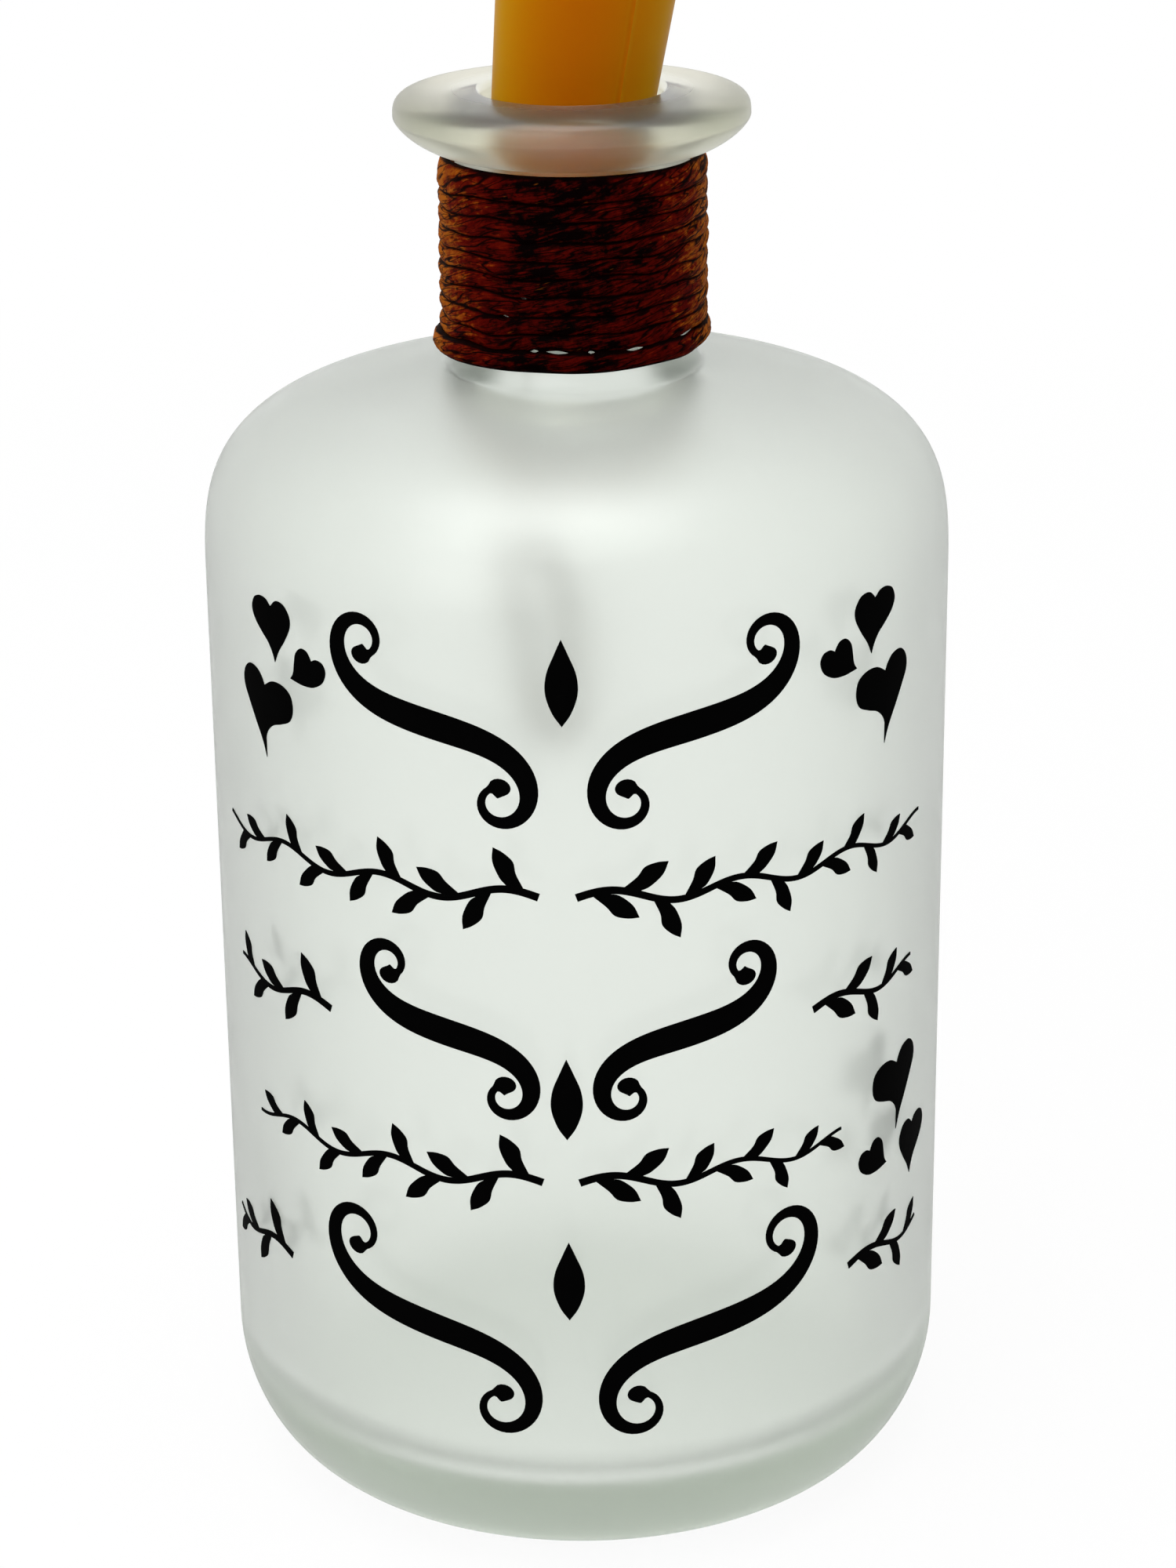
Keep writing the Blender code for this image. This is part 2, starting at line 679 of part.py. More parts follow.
def stopper_radius(height):
    return STOPPER_MOUTH_RADIUS + height * math.tan(STOPPER_TAPER)


def make_stopper_axis():
    """The stopper leans in the mouth, so its pieces hang on an empty on its axis."""
    axis = bpy.data.objects.new("stopper_axis", None)
    bpy.context.scene.collection.objects.link(axis)
    axis.location = (STOPPER_OFFSET, 0.0, BOTTLE_HEIGHT)
    axis.rotation_euler = (0.0, STOPPER_TILT, 0.0)
    return axis


def make_shell(plastic, axis):
    """The tapered sleeve that stands in the mouth, with a hole in its floor for the gland."""
    top = CAP_BOTTOM - SEAT_GAP / 2
    floor = STOPPER_BOTTOM + SHELL_FLOOR
    foot = stopper_radius(STOPPER_BOTTOM) - SHELL_FOOT_ROUNDING
    profile = [
        (GLAND_HOLE_RADIUS, STOPPER_BOTTOM),
        *ellipse_points(
            (foot, STOPPER_BOTTOM + SHELL_FOOT_ROUNDING),
            (SHELL_FOOT_ROUNDING, SHELL_FOOT_ROUNDING), -90, 0, 2),
        (stopper_radius(0.0), 0.0),
        (stopper_radius(top), top),
        (stopper_radius(top) - SHELL_WALL, top),
        (stopper_radius(0.0) - SHELL_WALL, 0.0),
        (stopper_radius(floor) - SHELL_WALL, floor),
        (GLAND_HOLE_RADIUS, floor),
    ]
    turned("stopper_shell", profile, plastic, axis, ROUND_STEPS)


def make_gland(rubber, axis):
    """A push-in gland that holds the light string's wire in the floor."""
    head_top = STOPPER_BOTTOM - SEAT_GAP
    head_bottom = head_top - GLAND_HEAD_HEIGHT
    shank = GLAND_HOLE_RADIUS - SEAT_GAP
    shank_top = STOPPER_BOTTOM + SHELL_FLOOR
    turned("wire_gland", [
        (0.0, head_bottom),
        (GLAND_HEAD_RADIUS - GLAND_HEAD_HEIGHT / 2, head_bottom),
        (GLAND_HEAD_RADIUS, head_bottom + GLAND_HEAD_HEIGHT / 2),
        (GLAND_HEAD_RADIUS, head_top),
        (shank, head_top),
        (shank, shank_top),
        (0.0, shank_top),
    ], rubber, axis, CURL_POINTS)


def cell_bottom(index):
    first = HOLDER_BOTTOM + HOLDER_FLOOR + SEAT_GAP + CONTACT_THICKNESS
    first += SEAT_GAP + SPRING_HEIGHT + SEAT_GAP
    return first + index * (CELL_HEIGHT + SEAT_GAP)


def holder_top():
    return cell_bottom(CELL_COUNT)


def make_holder(plastic, axis):
    """The tube that holds the stack of cells, slotted at the back and the front."""
    bottom = HOLDER_BOTTOM
    floor = bottom + HOLDER_FLOOR
    holder = turned("cell_holder", [
        (0.0, bottom),
        (HOLDER_OUTER_RADIUS, bottom),
        (HOLDER_OUTER_RADIUS, holder_top()),
        (HOLDER_INNER_RADIUS, holder_top()),
        (HOLDER_INNER_RADIUS, floor),
        (0.0, floor),
    ], plastic, axis)
    reach = HOLDER_OUTER_RADIUS + CUT_OVERRUN
    top = holder_top() + CUT_OVERRUN
    half_strip = STRIP_WIDTH / 2 + SEAT_GAP
    half_lead = LEAD_DIAMETER / 2 + SEAT_GAP
    cut(holder, block(
        "back_slot_cutter",
        (-half_strip, HOLDER_INNER_RADIUS / 2, floor + SEAT_GAP),
        (half_strip, reach, top),
        None, axis))
    cut(holder, block(
        "front_slot_cutter",
        (-half_lead, -reach, bottom - CUT_OVERRUN),
        (half_lead, HOLDER_WALL / 2 - HOLDER_INNER_RADIUS, top),
        None, axis))


def make_cells(steel, axis):
    for index in range(CELL_COUNT):
        low = cell_bottom(index)
        high = low + CELL_HEIGHT
        turned(f"button_cell_{index + 1}", [
            (0.0, low),
            (CELL_POLE_RADIUS, low),
            (CELL_POLE_RADIUS, low + CELL_POLE_HEIGHT),
            (CELL_RADIUS - CELL_ROUNDING, low + CELL_POLE_HEIGHT),
            (CELL_RADIUS, low + CELL_POLE_HEIGHT + CELL_ROUNDING),
            (CELL_RADIUS, high - CELL_ROUNDING),
            (CELL_RADIUS - CELL_ROUNDING, high),
            (0.0, high),
        ], steel, axis, SMALL_ROUND_STEPS)


def make_contacts(metal, axis):
    """The sprung contact under the cells, its strip up the back, and the contact on top."""
    low = HOLDER_BOTTOM + HOLDER_FLOOR + SEAT_GAP
    turned("lower_contact", [
        (0.0, low),
        (CONTACT_RADIUS, low),
        (CONTACT_RADIUS, low + CONTACT_THICKNESS),
        (0.0, low + CONTACT_THICKNESS),
    ], metal, axis, SMALL_ROUND_STEPS)
    spring_low = low + CONTACT_THICKNESS + SEAT_GAP + SPRING_WIRE / 2
    rise = SPRING_HEIGHT - SPRING_WIRE
    points = []
    for index in range(SPRING_TURNS * CURL_POINTS + 1):
        share = index / (SPRING_TURNS * CURL_POINTS)
        angle = math.tau * SPRING_TURNS * share
        radius = SPRING_RADIUS + (SPRING_TOP_RADIUS - SPRING_RADIUS) * share
        points.append(Vector((
            radius * math.cos(angle), radius * math.sin(angle), spring_low + rise * share)))
    tube("contact_spring", points, SPRING_WIRE, metal, axis)
    inner = HOLDER_INNER_RADIUS + HOLDER_WALL / 2 - CONTACT_THICKNESS / 2
    block(
        "contact_strip",
        (-STRIP_WIDTH / 2, inner, low + SEAT_GAP),
        (STRIP_WIDTH / 2, inner + CONTACT_THICKNESS, holder_top()),
        metal, axis)
    top = holder_top()
    turned("upper_contact", [
        (0.0, top),
        (CONTACT_RADIUS, top),
        (CONTACT_RADIUS, top + CONTACT_THICKNESS),
        (0.0, top + CONTACT_THICKNESS),
    ], metal, axis, SMALL_ROUND_STEPS)


def board_bottom():
    return holder_top() + CONTACT_THICKNESS + SEAT_GAP


def make_board(board, axis):
    low = board_bottom()
    turned("circuit_board", [
        (0.0, low),
        (BOARD_RADIUS, low),
        (BOARD_RADIUS, low + BOARD_THICKNESS),
        (0.0, low + BOARD_THICKNESS),
    ], board, axis, SMALL_ROUND_STEPS)


def make_lead(lacquered, axis):
    """The insulated pair from the gland up the front slot to the board."""
    side = -(HOLDER_INNER_RADIUS + HOLDER_WALL / 2)
    start = STOPPER_BOTTOM + SHELL_FLOOR + SEAT_GAP
    turn = HOLDER_BOTTOM - LEAD_DIAMETER
    end = board_bottom() - SEAT_GAP
    rise = (turn - start) * LEAD_RISE_SHARE
    points = smooth_path([
        (0.0, 0.0, start),
        (0.0, 0.0, start + rise),
        (0.0, side * LEAD_RISE_SHARE, start + rise + rise),
        (0.0, side * LEAD_BEND_SHARE, turn),
        (0.0, side, HOLDER_BOTTOM + HOLDER_FLOOR + HOLDER_FLOOR),
    ], 3)
    tube("lead_wire", [*points, (0.0, side, end)], LEAD_DIAMETER, lacquered, axis, LEAD_RESOLUTION)


def switch_bottom():
    return board_bottom() + BOARD_THICKNESS + SEAT_GAP


def slider_bottom():
    return switch_bottom() + SWITCH_HEIGHT + SEAT_GAP


def make_switch(plastic, axis):
    block(
        "switch_body",
        (-SWITCH_WIDTH / 2, -SWITCH_LENGTH / 2, switch_bottom()),
        (SWITCH_WIDTH / 2, SWITCH_LENGTH / 2, switch_bottom() + SWITCH_HEIGHT),
        plastic, axis)


def make_slider(plastic, axis):
    """The slider under the cap, with the nub that the finger moves; shown switched off."""
    travel_axis = bpy.data.objects.new("slider_axis", None)
    bpy.context.scene.collection.objects.link(travel_axis)
    travel_axis.parent = axis
    travel_axis.location = (0.0, -SWITCH_TRAVEL / 2, slider_bottom())
    half_plate = Vector((SLIDER_WIDTH / 2, SLIDER_LENGTH / 2, 0.0))
    half_nub = Vector((NUB_WIDTH / 2, NUB_LENGTH / 2, 0.0))
    rise = STOPPER_STAND + NUB_STAND - slider_bottom()
    shape = bmesh.new()
    corners = ((-1, -1), (1, -1), (1, 1), (-1, 1))
    rings = []
    for half, height in (
        (half_plate, 0.0), (half_plate, SLIDER_PLATE), (half_nub, SLIDER_PLATE), (half_nub, rise),
    ):
        rings.append([shape.verts.new((x * half.x, y * half.y, height)) for x, y in corners])
    shape.faces.new(rings[0])
    shape.faces.new(rings[-1])
    for below, above in zip(rings, rings[1:]):
        for index in range(4):
            nxt = (index + 1) % 4
            shape.faces.new((below[index], below[nxt], above[nxt], above[index]))
    add_mesh("switch_slider", shape, plastic, travel_axis)


def make_cap(plastic, axis):
    """The pull-off cap: its skirt plugs into the shell, and the nub comes up through its slot."""
    low = CAP_BOTTOM + SEAT_GAP / 2
    skirt_low = CAP_BOTTOM - CAP_SKIRT
    skirt_low_radius = stopper_radius(skirt_low) - SHELL_WALL - SLIDE_GAP
    skirt_top_radius = stopper_radius(CAP_BOTTOM) - SHELL_WALL - SLIDE_GAP
    inner = skirt_low_radius - CAP_SKIRT_WALL
    top = STOPPER_STAND
    cap = turned("stopper_cap", [
        (0.0, top - CAP_ROOF),
        (inner, top - CAP_ROOF),
        (inner, skirt_low),
        (skirt_low_radius, skirt_low),
        (skirt_top_radius, low),
        (stopper_radius(low), low),
        *ellipse_points(
            (stopper_radius(top) - CAP_ROUNDING, top - CAP_ROUNDING),
            (CAP_ROUNDING, CAP_ROUNDING), 0, 90, 3),
        (0.0, top),
    ], plastic, axis, ROUND_STEPS)
    half_width = NUB_WIDTH / 2 + SLIDE_GAP
    half_length = (NUB_LENGTH + SWITCH_TRAVEL) / 2 + SLIDE_GAP
    cutter = block(
        "slot_cutter",
        (-half_width, -half_length, top - CAP_ROOF - CUT_OVERRUN),
        (half_width, half_length, top + CUT_OVERRUN),
        None, axis)
    cut(cap, cutter)


# Light string

def hank_place(across, along, depth):
    """A place in the hank, by its own axes: across it, up along it, and towards the back."""
    up = Vector((-math.sin(HANK_TILT), 0.0, math.cos(HANK_TILT)))
    side = Vector((math.cos(HANK_TILT), 0.0, math.sin(HANK_TILT)))
    centre = Vector((-HANK_OFFSET, 0.0, HANK_CENTRE_HEIGHT))
    return centre + side * across + up * along + Vector((0.0, depth, 0.0))


def hank_point(index):
    """A point of the folded wire; each layer spirals in or out, and climbs along a left run."""
    turn = index / LOOP_POINTS
    layer = min(int(turn / HANK_TURNS_PER_LAYER), HANK_LAYERS - 1)
    within = turn - layer * HANK_TURNS_PER_LAYER
    ring = within if layer % 2 else HANK_TURNS_PER_LAYER - within
    ring = min(max(ring, 0.0), HANK_TURNS_PER_LAYER)
    half = HANK_FOLD_RADIUS + WIRE_STEP * ring
    climb = 1.0
    if layer:
        climb = min(1.0, within * LOOP_POINTS / RUN_PARTS)
    depth = (layer - 1.0 + climb - (HANK_LAYERS - 1) / 2) * WIRE_STEP
    place = index % LOOP_POINTS
    if place <= RUN_PARTS:
        return hank_place(-half, HANK_RUN / 2 - HANK_RUN * place / RUN_PARTS, depth)
    place -= RUN_PARTS
    if place <= FOLD_PARTS:
        angle = math.pi * place / FOLD_PARTS
        return hank_place(
            -half * math.cos(angle), -HANK_RUN / 2 - half * math.sin(angle), depth)
    place -= FOLD_PARTS
    if place <= RUN_PARTS:
        return hank_place(half, -HANK_RUN / 2 + HANK_RUN * place / RUN_PARTS, depth)
    angle = math.pi * (place - RUN_PARTS) / FOLD_PARTS
    return hank_place(half * math.cos(angle), HANK_RUN / 2 + half * math.sin(angle), depth)


def string_points():
    """The wire from the gland down the neck and into the hank, ending just past its last bead."""
    exit_height = STOPPER_BOTTOM - GLAND_HEAD_HEIGHT - HANK_LEAD_START_GAP
    lean = Vector((math.sin(STOPPER_TILT), 0.0, math.cos(STOPPER_TILT)))
    mouth = Vector((STOPPER_OFFSET, 0.0, BOTTLE_HEIGHT))
    start = mouth + lean * exit_height
    hank_start = hank_point(0)
    above = hank_start + Vector((HANK_LEAD_INSET, 0.0, HANK_LEAD_RISE))
    lead = smooth_path([
        start,
        start - lean * HANK_FOLD_RADIUS,
        start - lean * HANK_LEAD_BEND,
        (start + above) / 2,
        above,
        hank_start,
    ], 2)
    turns = HANK_LAYERS * HANK_TURNS_PER_LAYER
    loops = [hank_point(index) for index in range(1, turns * LOOP_POINTS + 1)]
    down = (hank_point(1) - hank_point(0)).normalized()
    tail = loops[-1] + down * HANK_TAIL
    return lead, loops, tail


def bead_segment(run, part):
    """The two points of the wire that a bead sits between."""
    first = (run // 2) * LOOP_POINTS + (run % 2) * LOOP_POINTS // 2 + part
    return hank_point(first), hank_point(first + 1)


def make_bead(name, before, after, resin):
    bore = WIRE_DIAMETER / 2 + BEAD_BORE_GAP
    open_end = math.degrees(math.acos((bore + BEAD_END_WALL) / BEAD_RADIUS))
    outside = ellipse_points((0.0, 0.0), (BEAD_RADIUS, BEAD_LENGTH / 2), open_end, -open_end, 4)
    profile = [(bore, outside[-1][1]), (bore, outside[0][1]), *outside]
    bead = turned(name, profile, resin, None, TINY_ROUND_STEPS, 60.0)
    bead.matrix_world = (
        Matrix.Translation((before + after) / 2)
        @ (after - before).to_track_quat("Z", "Y").to_matrix().to_4x4())


def make_light_string(lacquered, resin):
    lead, loops, tail = string_points()
    points = [*lead, *loops, tail]
    tube("light_wire", points, WIRE_DIAMETER, lacquered)
    for number, (run, part) in enumerate(zip(BEAD_RUNS, BEAD_PARTS), 1):
        make_bead(f"light_bead_{number}", *bead_segment(run, part), resin)
    make_bead(f"light_bead_{len(BEAD_RUNS) + 1}", loops[-1], tail, resin)
    gap = least_gap(points, WIRE_DIAMETER, HANK_FOLD_RADIUS * math.pi)
    print(f"light string: {path_length(points):.4f} m, least gap to itself {gap * 1000:.3f} mm")


def build():
    clear_scene()
    glass = make_material("frosted_glass", (0.86, 0.90, 0.87), 0.45, transmission=1.0)
    paper = make_material("brown_paper_cord", (0.17, 0.045, 0.015), 0.75)
    black = make_material("black_film", (0.01, 0.01, 0.01), 0.35)
    amber = make_material("amber_plastic", (0.62, 0.28, 0.03), 0.35)
    grey = make_material("grey_plastic", (0.08, 0.08, 0.085), 0.5)
    white = make_material("white_plastic", (0.75, 0.74, 0.70), 0.45)
    rubber = make_material("clear_rubber", (0.62, 0.60, 0.54), 0.5)
    steel = make_material("cell_steel", (0.72, 0.72, 0.72), 0.25, metallic=1.0)
    tin = make_material("contact_metal", (0.78, 0.76, 0.70), 0.3, metallic=1.0)
    board = make_material("circuit_board", (0.03, 0.20, 0.07), 0.5)
    wire = make_material("lacquered_wire", (0.50, 0.48, 0.44), 0.35, metallic=1.0)
    resin = make_material("clear_resin", (0.90, 0.88, 0.80), 0.15, transmission=0.6)
    make_bottle(glass)
    make_neck_cord(paper)
    make_hearts(black)
    make_scrolls(black)
    make_drops(black)
    make_vines(black)
    axis = make_stopper_axis()
    make_shell(amber, axis)
    make_gland(rubber, axis)
    make_holder(white, axis)
    make_cells(steel, axis)
    make_contacts(tin, axis)
    make_board(board, axis)
    make_lead(wire, axis)
    make_switch(grey, axis)
    make_slider(grey, axis)
    make_cap(amber, axis)
    make_light_string(wire, resin)


build()
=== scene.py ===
"""Looks of the frosted glass bottle light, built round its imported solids.

Metres, in the frame of the solids: +Z up, the decorated front faces -Y, and the bottle stands
on the floor at height zero.
"""

from math import atan2, ceil, copysign, cos, exp, pi, radians, sin, sqrt, tan, tau

import bmesh
import bpy
from mathutils import Matrix, Vector, noise


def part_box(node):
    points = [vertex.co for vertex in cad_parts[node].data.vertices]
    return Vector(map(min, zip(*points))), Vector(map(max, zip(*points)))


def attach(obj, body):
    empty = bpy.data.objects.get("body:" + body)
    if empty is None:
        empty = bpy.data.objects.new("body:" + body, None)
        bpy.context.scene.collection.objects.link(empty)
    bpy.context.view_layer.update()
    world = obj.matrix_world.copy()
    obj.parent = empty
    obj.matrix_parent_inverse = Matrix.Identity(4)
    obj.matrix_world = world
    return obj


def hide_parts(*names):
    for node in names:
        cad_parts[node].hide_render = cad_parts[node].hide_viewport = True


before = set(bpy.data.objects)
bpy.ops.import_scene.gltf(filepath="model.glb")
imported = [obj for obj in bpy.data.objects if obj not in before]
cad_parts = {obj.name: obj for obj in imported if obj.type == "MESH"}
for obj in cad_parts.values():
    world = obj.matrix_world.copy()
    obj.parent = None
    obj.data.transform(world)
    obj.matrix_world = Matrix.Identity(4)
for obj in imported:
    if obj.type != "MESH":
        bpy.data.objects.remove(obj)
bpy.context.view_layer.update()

# Camera. It stands close in front of the bottle and looks down on it, so that the sides of the
# body draw together towards the foot, and the stopper runs out of the top of the picture.
CAMERA_PLACE = Vector((0.0, -0.4173, 0.2380))
CAMERA_YAW = radians(0.132)
CAMERA_PITCH = radians(20.68)
CAMERA_ROLL = radians(-0.63)
CAMERA_LENS = 88.16
CAMERA_NEAR = 0.01


def added(name, data):
    """A new object, put in the scene."""
    thing = bpy.data.objects.new(name, data)
    bpy.context.scene.collection.objects.link(thing)
    return thing


camera_data = bpy.data.cameras.new("camera")
camera_data.lens = CAMERA_LENS
camera_data.clip_start = CAMERA_NEAR
camera = added("camera", camera_data)
camera.matrix_world = (
    Matrix.Translation(CAMERA_PLACE)
    @ Matrix.Rotation(-CAMERA_YAW, 4, "Z")
    @ Matrix.Rotation(pi / 2 - CAMERA_PITCH, 4, "X")
    @ Matrix.Rotation(CAMERA_ROLL, 4, "Z")
)
bpy.context.scene.camera = camera


# Glass bottle. One blown apothecary bottle: a thick foot with a shallow punt, a round shoulder,
# a short neck and a rolled lip. It is etched to a fine frost outside, a little finer on the lip;
# the inside is polished, but for the floor and its corner, which are dull.
BODY_RADIUS = 0.042
HEEL_WIDTH = 0.0098
HEEL_HEIGHT = 0.0146
HEEL_POWER = 1.9
FOOT_RING_WIDTH = 0.003
PUNT_DEPTH = 0.0025
WALL_TOP = 0.1061
SHOULDER_HEIGHT = 0.0201
SHOULDER_RISE = 0.0048
SHOULDER_POWER = 3.8
NECK_RADIUS = 0.0129
NECK_ROOT_WIDTH = 0.0021
NECK_ROOT_HEIGHT = 0.0045
NECK_LENGTH = 0.0236
LIP_ROOT_WIDTH = 0.0013
LIP_ROOT_HEIGHT = 0.0004
LIP_OVERHANG = 0.00536
LIP_UNDERSIDE = 0.00368
LIP_UNDERSIDE_POWER = 1.43
LIP_TOPSIDE = 0.00276
LIP_TOPSIDE_POWER = 3.3
GLASS_WALL = 0.0042
BASE_THICKNESS = 0.0092
INNER_HEEL_WIDTH = 0.0070
INNER_HEEL_HEIGHT = 0.006
BORE_RADIUS = 0.0098
RIM_ROUNDING = 0.0009
BOTTLE_SEGMENTS = 192
PUNT_STEPS = 12
HEEL_STEPS = 22
WALL_STEPS = 20
SHOULDER_STEPS = 60
NECK_ROOT_STEPS = 10
LIP_STEPS = 20
RIM_STEPS = 8
INNER_SHOULDER_STEPS = 48
INNER_HEEL_STEPS = 18

GLASS_TINT = (0.958, 0.976, 0.952)
GLASS_DEPTH_COLOUR = (0.68, 0.78, 0.64)
GLASS_DEPTH_DENSITY = 16.0
# Painted light: the lip is tinted darker and warmer from a height up, to paint the amber light of
# the stopper that shows through the glass.
LIP_PAINTED_AMBER_LIGHT = (0.84, 0.81, 0.68)
LIP_PAINTED_LIGHT_RANGE = (0.1545, 0.1565)
GLASS_IOR = 1.5
FROST_ROUGHNESS_RANGE = (0.32, 0.42)
FROST_CLOUD_SIZE = 60.0
POLISHED_ROUGHNESS = 0.14
GLASS_CLEARNESS = 0.96
LIP_FROST_SHARE = 0.82
FLOOR_FROST_SHARE = 1.0

SHOULDER_TOP = WALL_TOP + SHOULDER_HEIGHT + SHOULDER_RISE
NECK_TOP = SHOULDER_TOP + NECK_LENGTH
LIP_MIDDLE = NECK_TOP + LIP_ROOT_HEIGHT + LIP_UNDERSIDE
BOTTLE_HEIGHT = LIP_MIDDLE + LIP_TOPSIDE
LIP_FLAT_RADIUS = NECK_RADIUS + LIP_ROOT_WIDTH
INNER_HEEL_TOP = BASE_THICKNESS + INNER_HEEL_HEIGHT


def oval(centre, radii, start, end, steps, power=2.0):
    """Points along part of an ellipse, squarer where the power is above two."""
    points = []
    for index in range(steps + 1):
        angle = radians(start + (end - start) * index / steps)
        across, up = cos(angle), sin(angle)
        bow = 2.0 / power
        points.append((
            centre[0] + radii[0] * copysign(abs(across) ** bow, across),
            centre[1] + radii[1] * copysign(abs(up) ** bow, up),
        ))
    return points


def smooth_mesh(name, corners, faces):
    """A smooth-shaded mesh from its corners and faces."""
    mesh = bpy.data.meshes.new(name)
    mesh.from_pydata(corners, [], faces)
    mesh.shade_smooth()
    return mesh


def lathe(name, section, segments, ridges=()):
    """A turned mesh from its half section, with raised mould lines at some segments."""
    rings = []
    corners = []
    for radius, height in section:
        count = segments if radius > 0.0 else 1
        first = len(corners)
        rings.append([first + index % count for index in range(segments)])
        for index in range(count):
            angle = tau * index / segments
            reach = radius + dict(ridges).get(index, 0.0) if radius > 0.0 else 0.0
            corners.append((reach * cos(angle), reach * sin(angle), height))
    pairs = list(zip(rings, rings[1:]))
    if section[0][0] > 0.0:
        pairs.append((rings[-1], rings[0]))
    faces = []
    for low, high in pairs:
        for index in range(segments):
            after = (index + 1) % segments
            loop = (low[index], low[after], high[after], high[index])
            faces.append([loop[i] for i in range(4) if loop[i] != loop[i - 1]])
    return smooth_mesh(name, corners, faces)


def place(name, data, material, body, slot, *stands_for):
    """Puts a finished piece in the scene, riding on its body in place of its solids."""
    piece = added(name, data)
    data.materials.append(material)
    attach(piece, body)
    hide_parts(*stands_for)
    return piece


def finish(name):
    """A new material with its node tree and its shader."""
    material = bpy.data.materials.new(name)
    material.use_nodes = True
    return material, material.node_tree, material.node_tree.nodes["Principled BSDF"]


def fill(node, sources):
    """Gives a node's sockets their sources: another node's output or a fixed value."""
    for name, source in sources.items():
        socket = node.inputs[name]
        if isinstance(source, bpy.types.NodeSocket):
            node.id_data.links.new(source, socket)
        else:
            socket.default_value = (*source, 1.0) if socket.type == "RGBA" else source


def wired(tree, kind, output, sources, **settings):
    """An output of a new shader node, with the node's settings and its sockets' sources."""
    node = tree.nodes.new(f"ShaderNode{kind}")
    for name, value in settings.items():
        setattr(node, name, value)
    fill(node, sources)
    return node.outputs[output]


def object_place(tree):
    """Places fixed to the object, in metres of the frame."""
    return wired(tree, "TexCoord", "Object", {})


def point_value(tree, name, output="Fac"):
    """What the mesh's points hold under a name."""
    return wired(tree, "Attribute", output, {}, attribute_name=name)


def noise_at(vector, size, detail=2.0, roughness=0.5):
    """Noise at given places, with so many cells to the unit."""
    return wired(vector.id_data, "TexNoise", "Fac", {
        "Vector": vector, "Scale": size, "Detail": detail, "Roughness": roughness})


def span(source, low, high, start=0.0, end=1.0):
    """Brings a mask from start and end to the values low and high."""
    return wired(source.id_data, "MapRange", "Result", {
        "Value": source, "From Min": start, "From Max": end, "To Min": low, "To Max": high})


def by_height(tree, start, end):
    """A mask that goes from none to one between two heights."""
    height = wired(tree, "SeparateXYZ", "Z", {"Vector": object_place(tree)})
    return span(height, 0.0, 1.0, start, end)


def mixed(mask, low, high):
    """A colour between two, by a mask."""
    return wired(
        mask.id_data, "Mix", "Result", {"Factor": mask, "A": low, "B": high}, data_type="RGBA")


def shoulder_points(inner_radius, outer_radius, height, steps):
    """The shoulder from the wall in to the neck: a squared oval on a shallow cone."""
    reach = outer_radius - inner_radius
    squared = oval((inner_radius, WALL_TOP), (reach, height), 0, 90, steps, SHOULDER_POWER)
    return [
        (radius, up + SHOULDER_RISE * (outer_radius - radius) / reach) for radius, up in squared]


def outer_section():
    """Half section of the frosted outside, from the punt out and up to the lip's flat top."""
    foot_radius = BODY_RADIUS - HEEL_WIDTH
    ring_radius = foot_radius - FOOT_RING_WIDTH
    wall_step = (WALL_TOP - HEEL_HEIGHT) / WALL_STEPS
    root_radius = NECK_RADIUS + NECK_ROOT_WIDTH
    lip = (LIP_FLAT_RADIUS, LIP_MIDDLE)
    return [
        *[(ring_radius * step / PUNT_STEPS, PUNT_DEPTH * (1.0 - (step / PUNT_STEPS) ** 2))
          for step in range(PUNT_STEPS + 1)],
        *oval(
            (foot_radius, HEEL_HEIGHT), (HEEL_WIDTH, HEEL_HEIGHT), -90, 0, HEEL_STEPS, HEEL_POWER),
        *[(BODY_RADIUS, HEEL_HEIGHT + wall_step * step) for step in range(1, WALL_STEPS)],
        *shoulder_points(root_radius, BODY_RADIUS, SHOULDER_HEIGHT, SHOULDER_STEPS),
        *oval(
            (root_radius, SHOULDER_TOP + NECK_ROOT_HEIGHT), (NECK_ROOT_WIDTH, NECK_ROOT_HEIGHT),
            270, 180, NECK_ROOT_STEPS)[1:],
        (NECK_RADIUS, NECK_TOP),
        *oval(lip, (LIP_OVERHANG, LIP_UNDERSIDE), -90, 0, LIP_STEPS, LIP_UNDERSIDE_POWER),
        *oval(lip, (LIP_OVERHANG, LIP_TOPSIDE), 0, 90, LIP_STEPS, LIP_TOPSIDE_POWER)[1:],
    ]


def inner_section():
    """Half section of the inside, from the rim of the bore down to the floor."""
    inner_radius = BODY_RADIUS - GLASS_WALL
    root_radius = BORE_RADIUS + NECK_ROOT_WIDTH
    root_top = SHOULDER_TOP - GLASS_WALL + NECK_ROOT_HEIGHT
    return [
        *oval(
            (BORE_RADIUS + RIM_ROUNDING, BOTTLE_HEIGHT - RIM_ROUNDING),
            (RIM_ROUNDING, RIM_ROUNDING), 90, 180, RIM_STEPS),
        *oval(
            (root_radius, root_top), (NECK_ROOT_WIDTH, NECK_ROOT_HEIGHT), 180, 270,
            NECK_ROOT_STEPS),
        *shoulder_points(
            root_radius, inner_radius, SHOULDER_HEIGHT - GLASS_WALL, INNER_SHOULDER_STEPS)[-2::-1],
        *oval(
            (inner_radius - INNER_HEEL_WIDTH, INNER_HEEL_TOP),
            (INNER_HEEL_WIDTH, INNER_HEEL_HEIGHT), 0, -90, INNER_HEEL_STEPS),
        (0.0, BASE_THICKNESS),
    ]


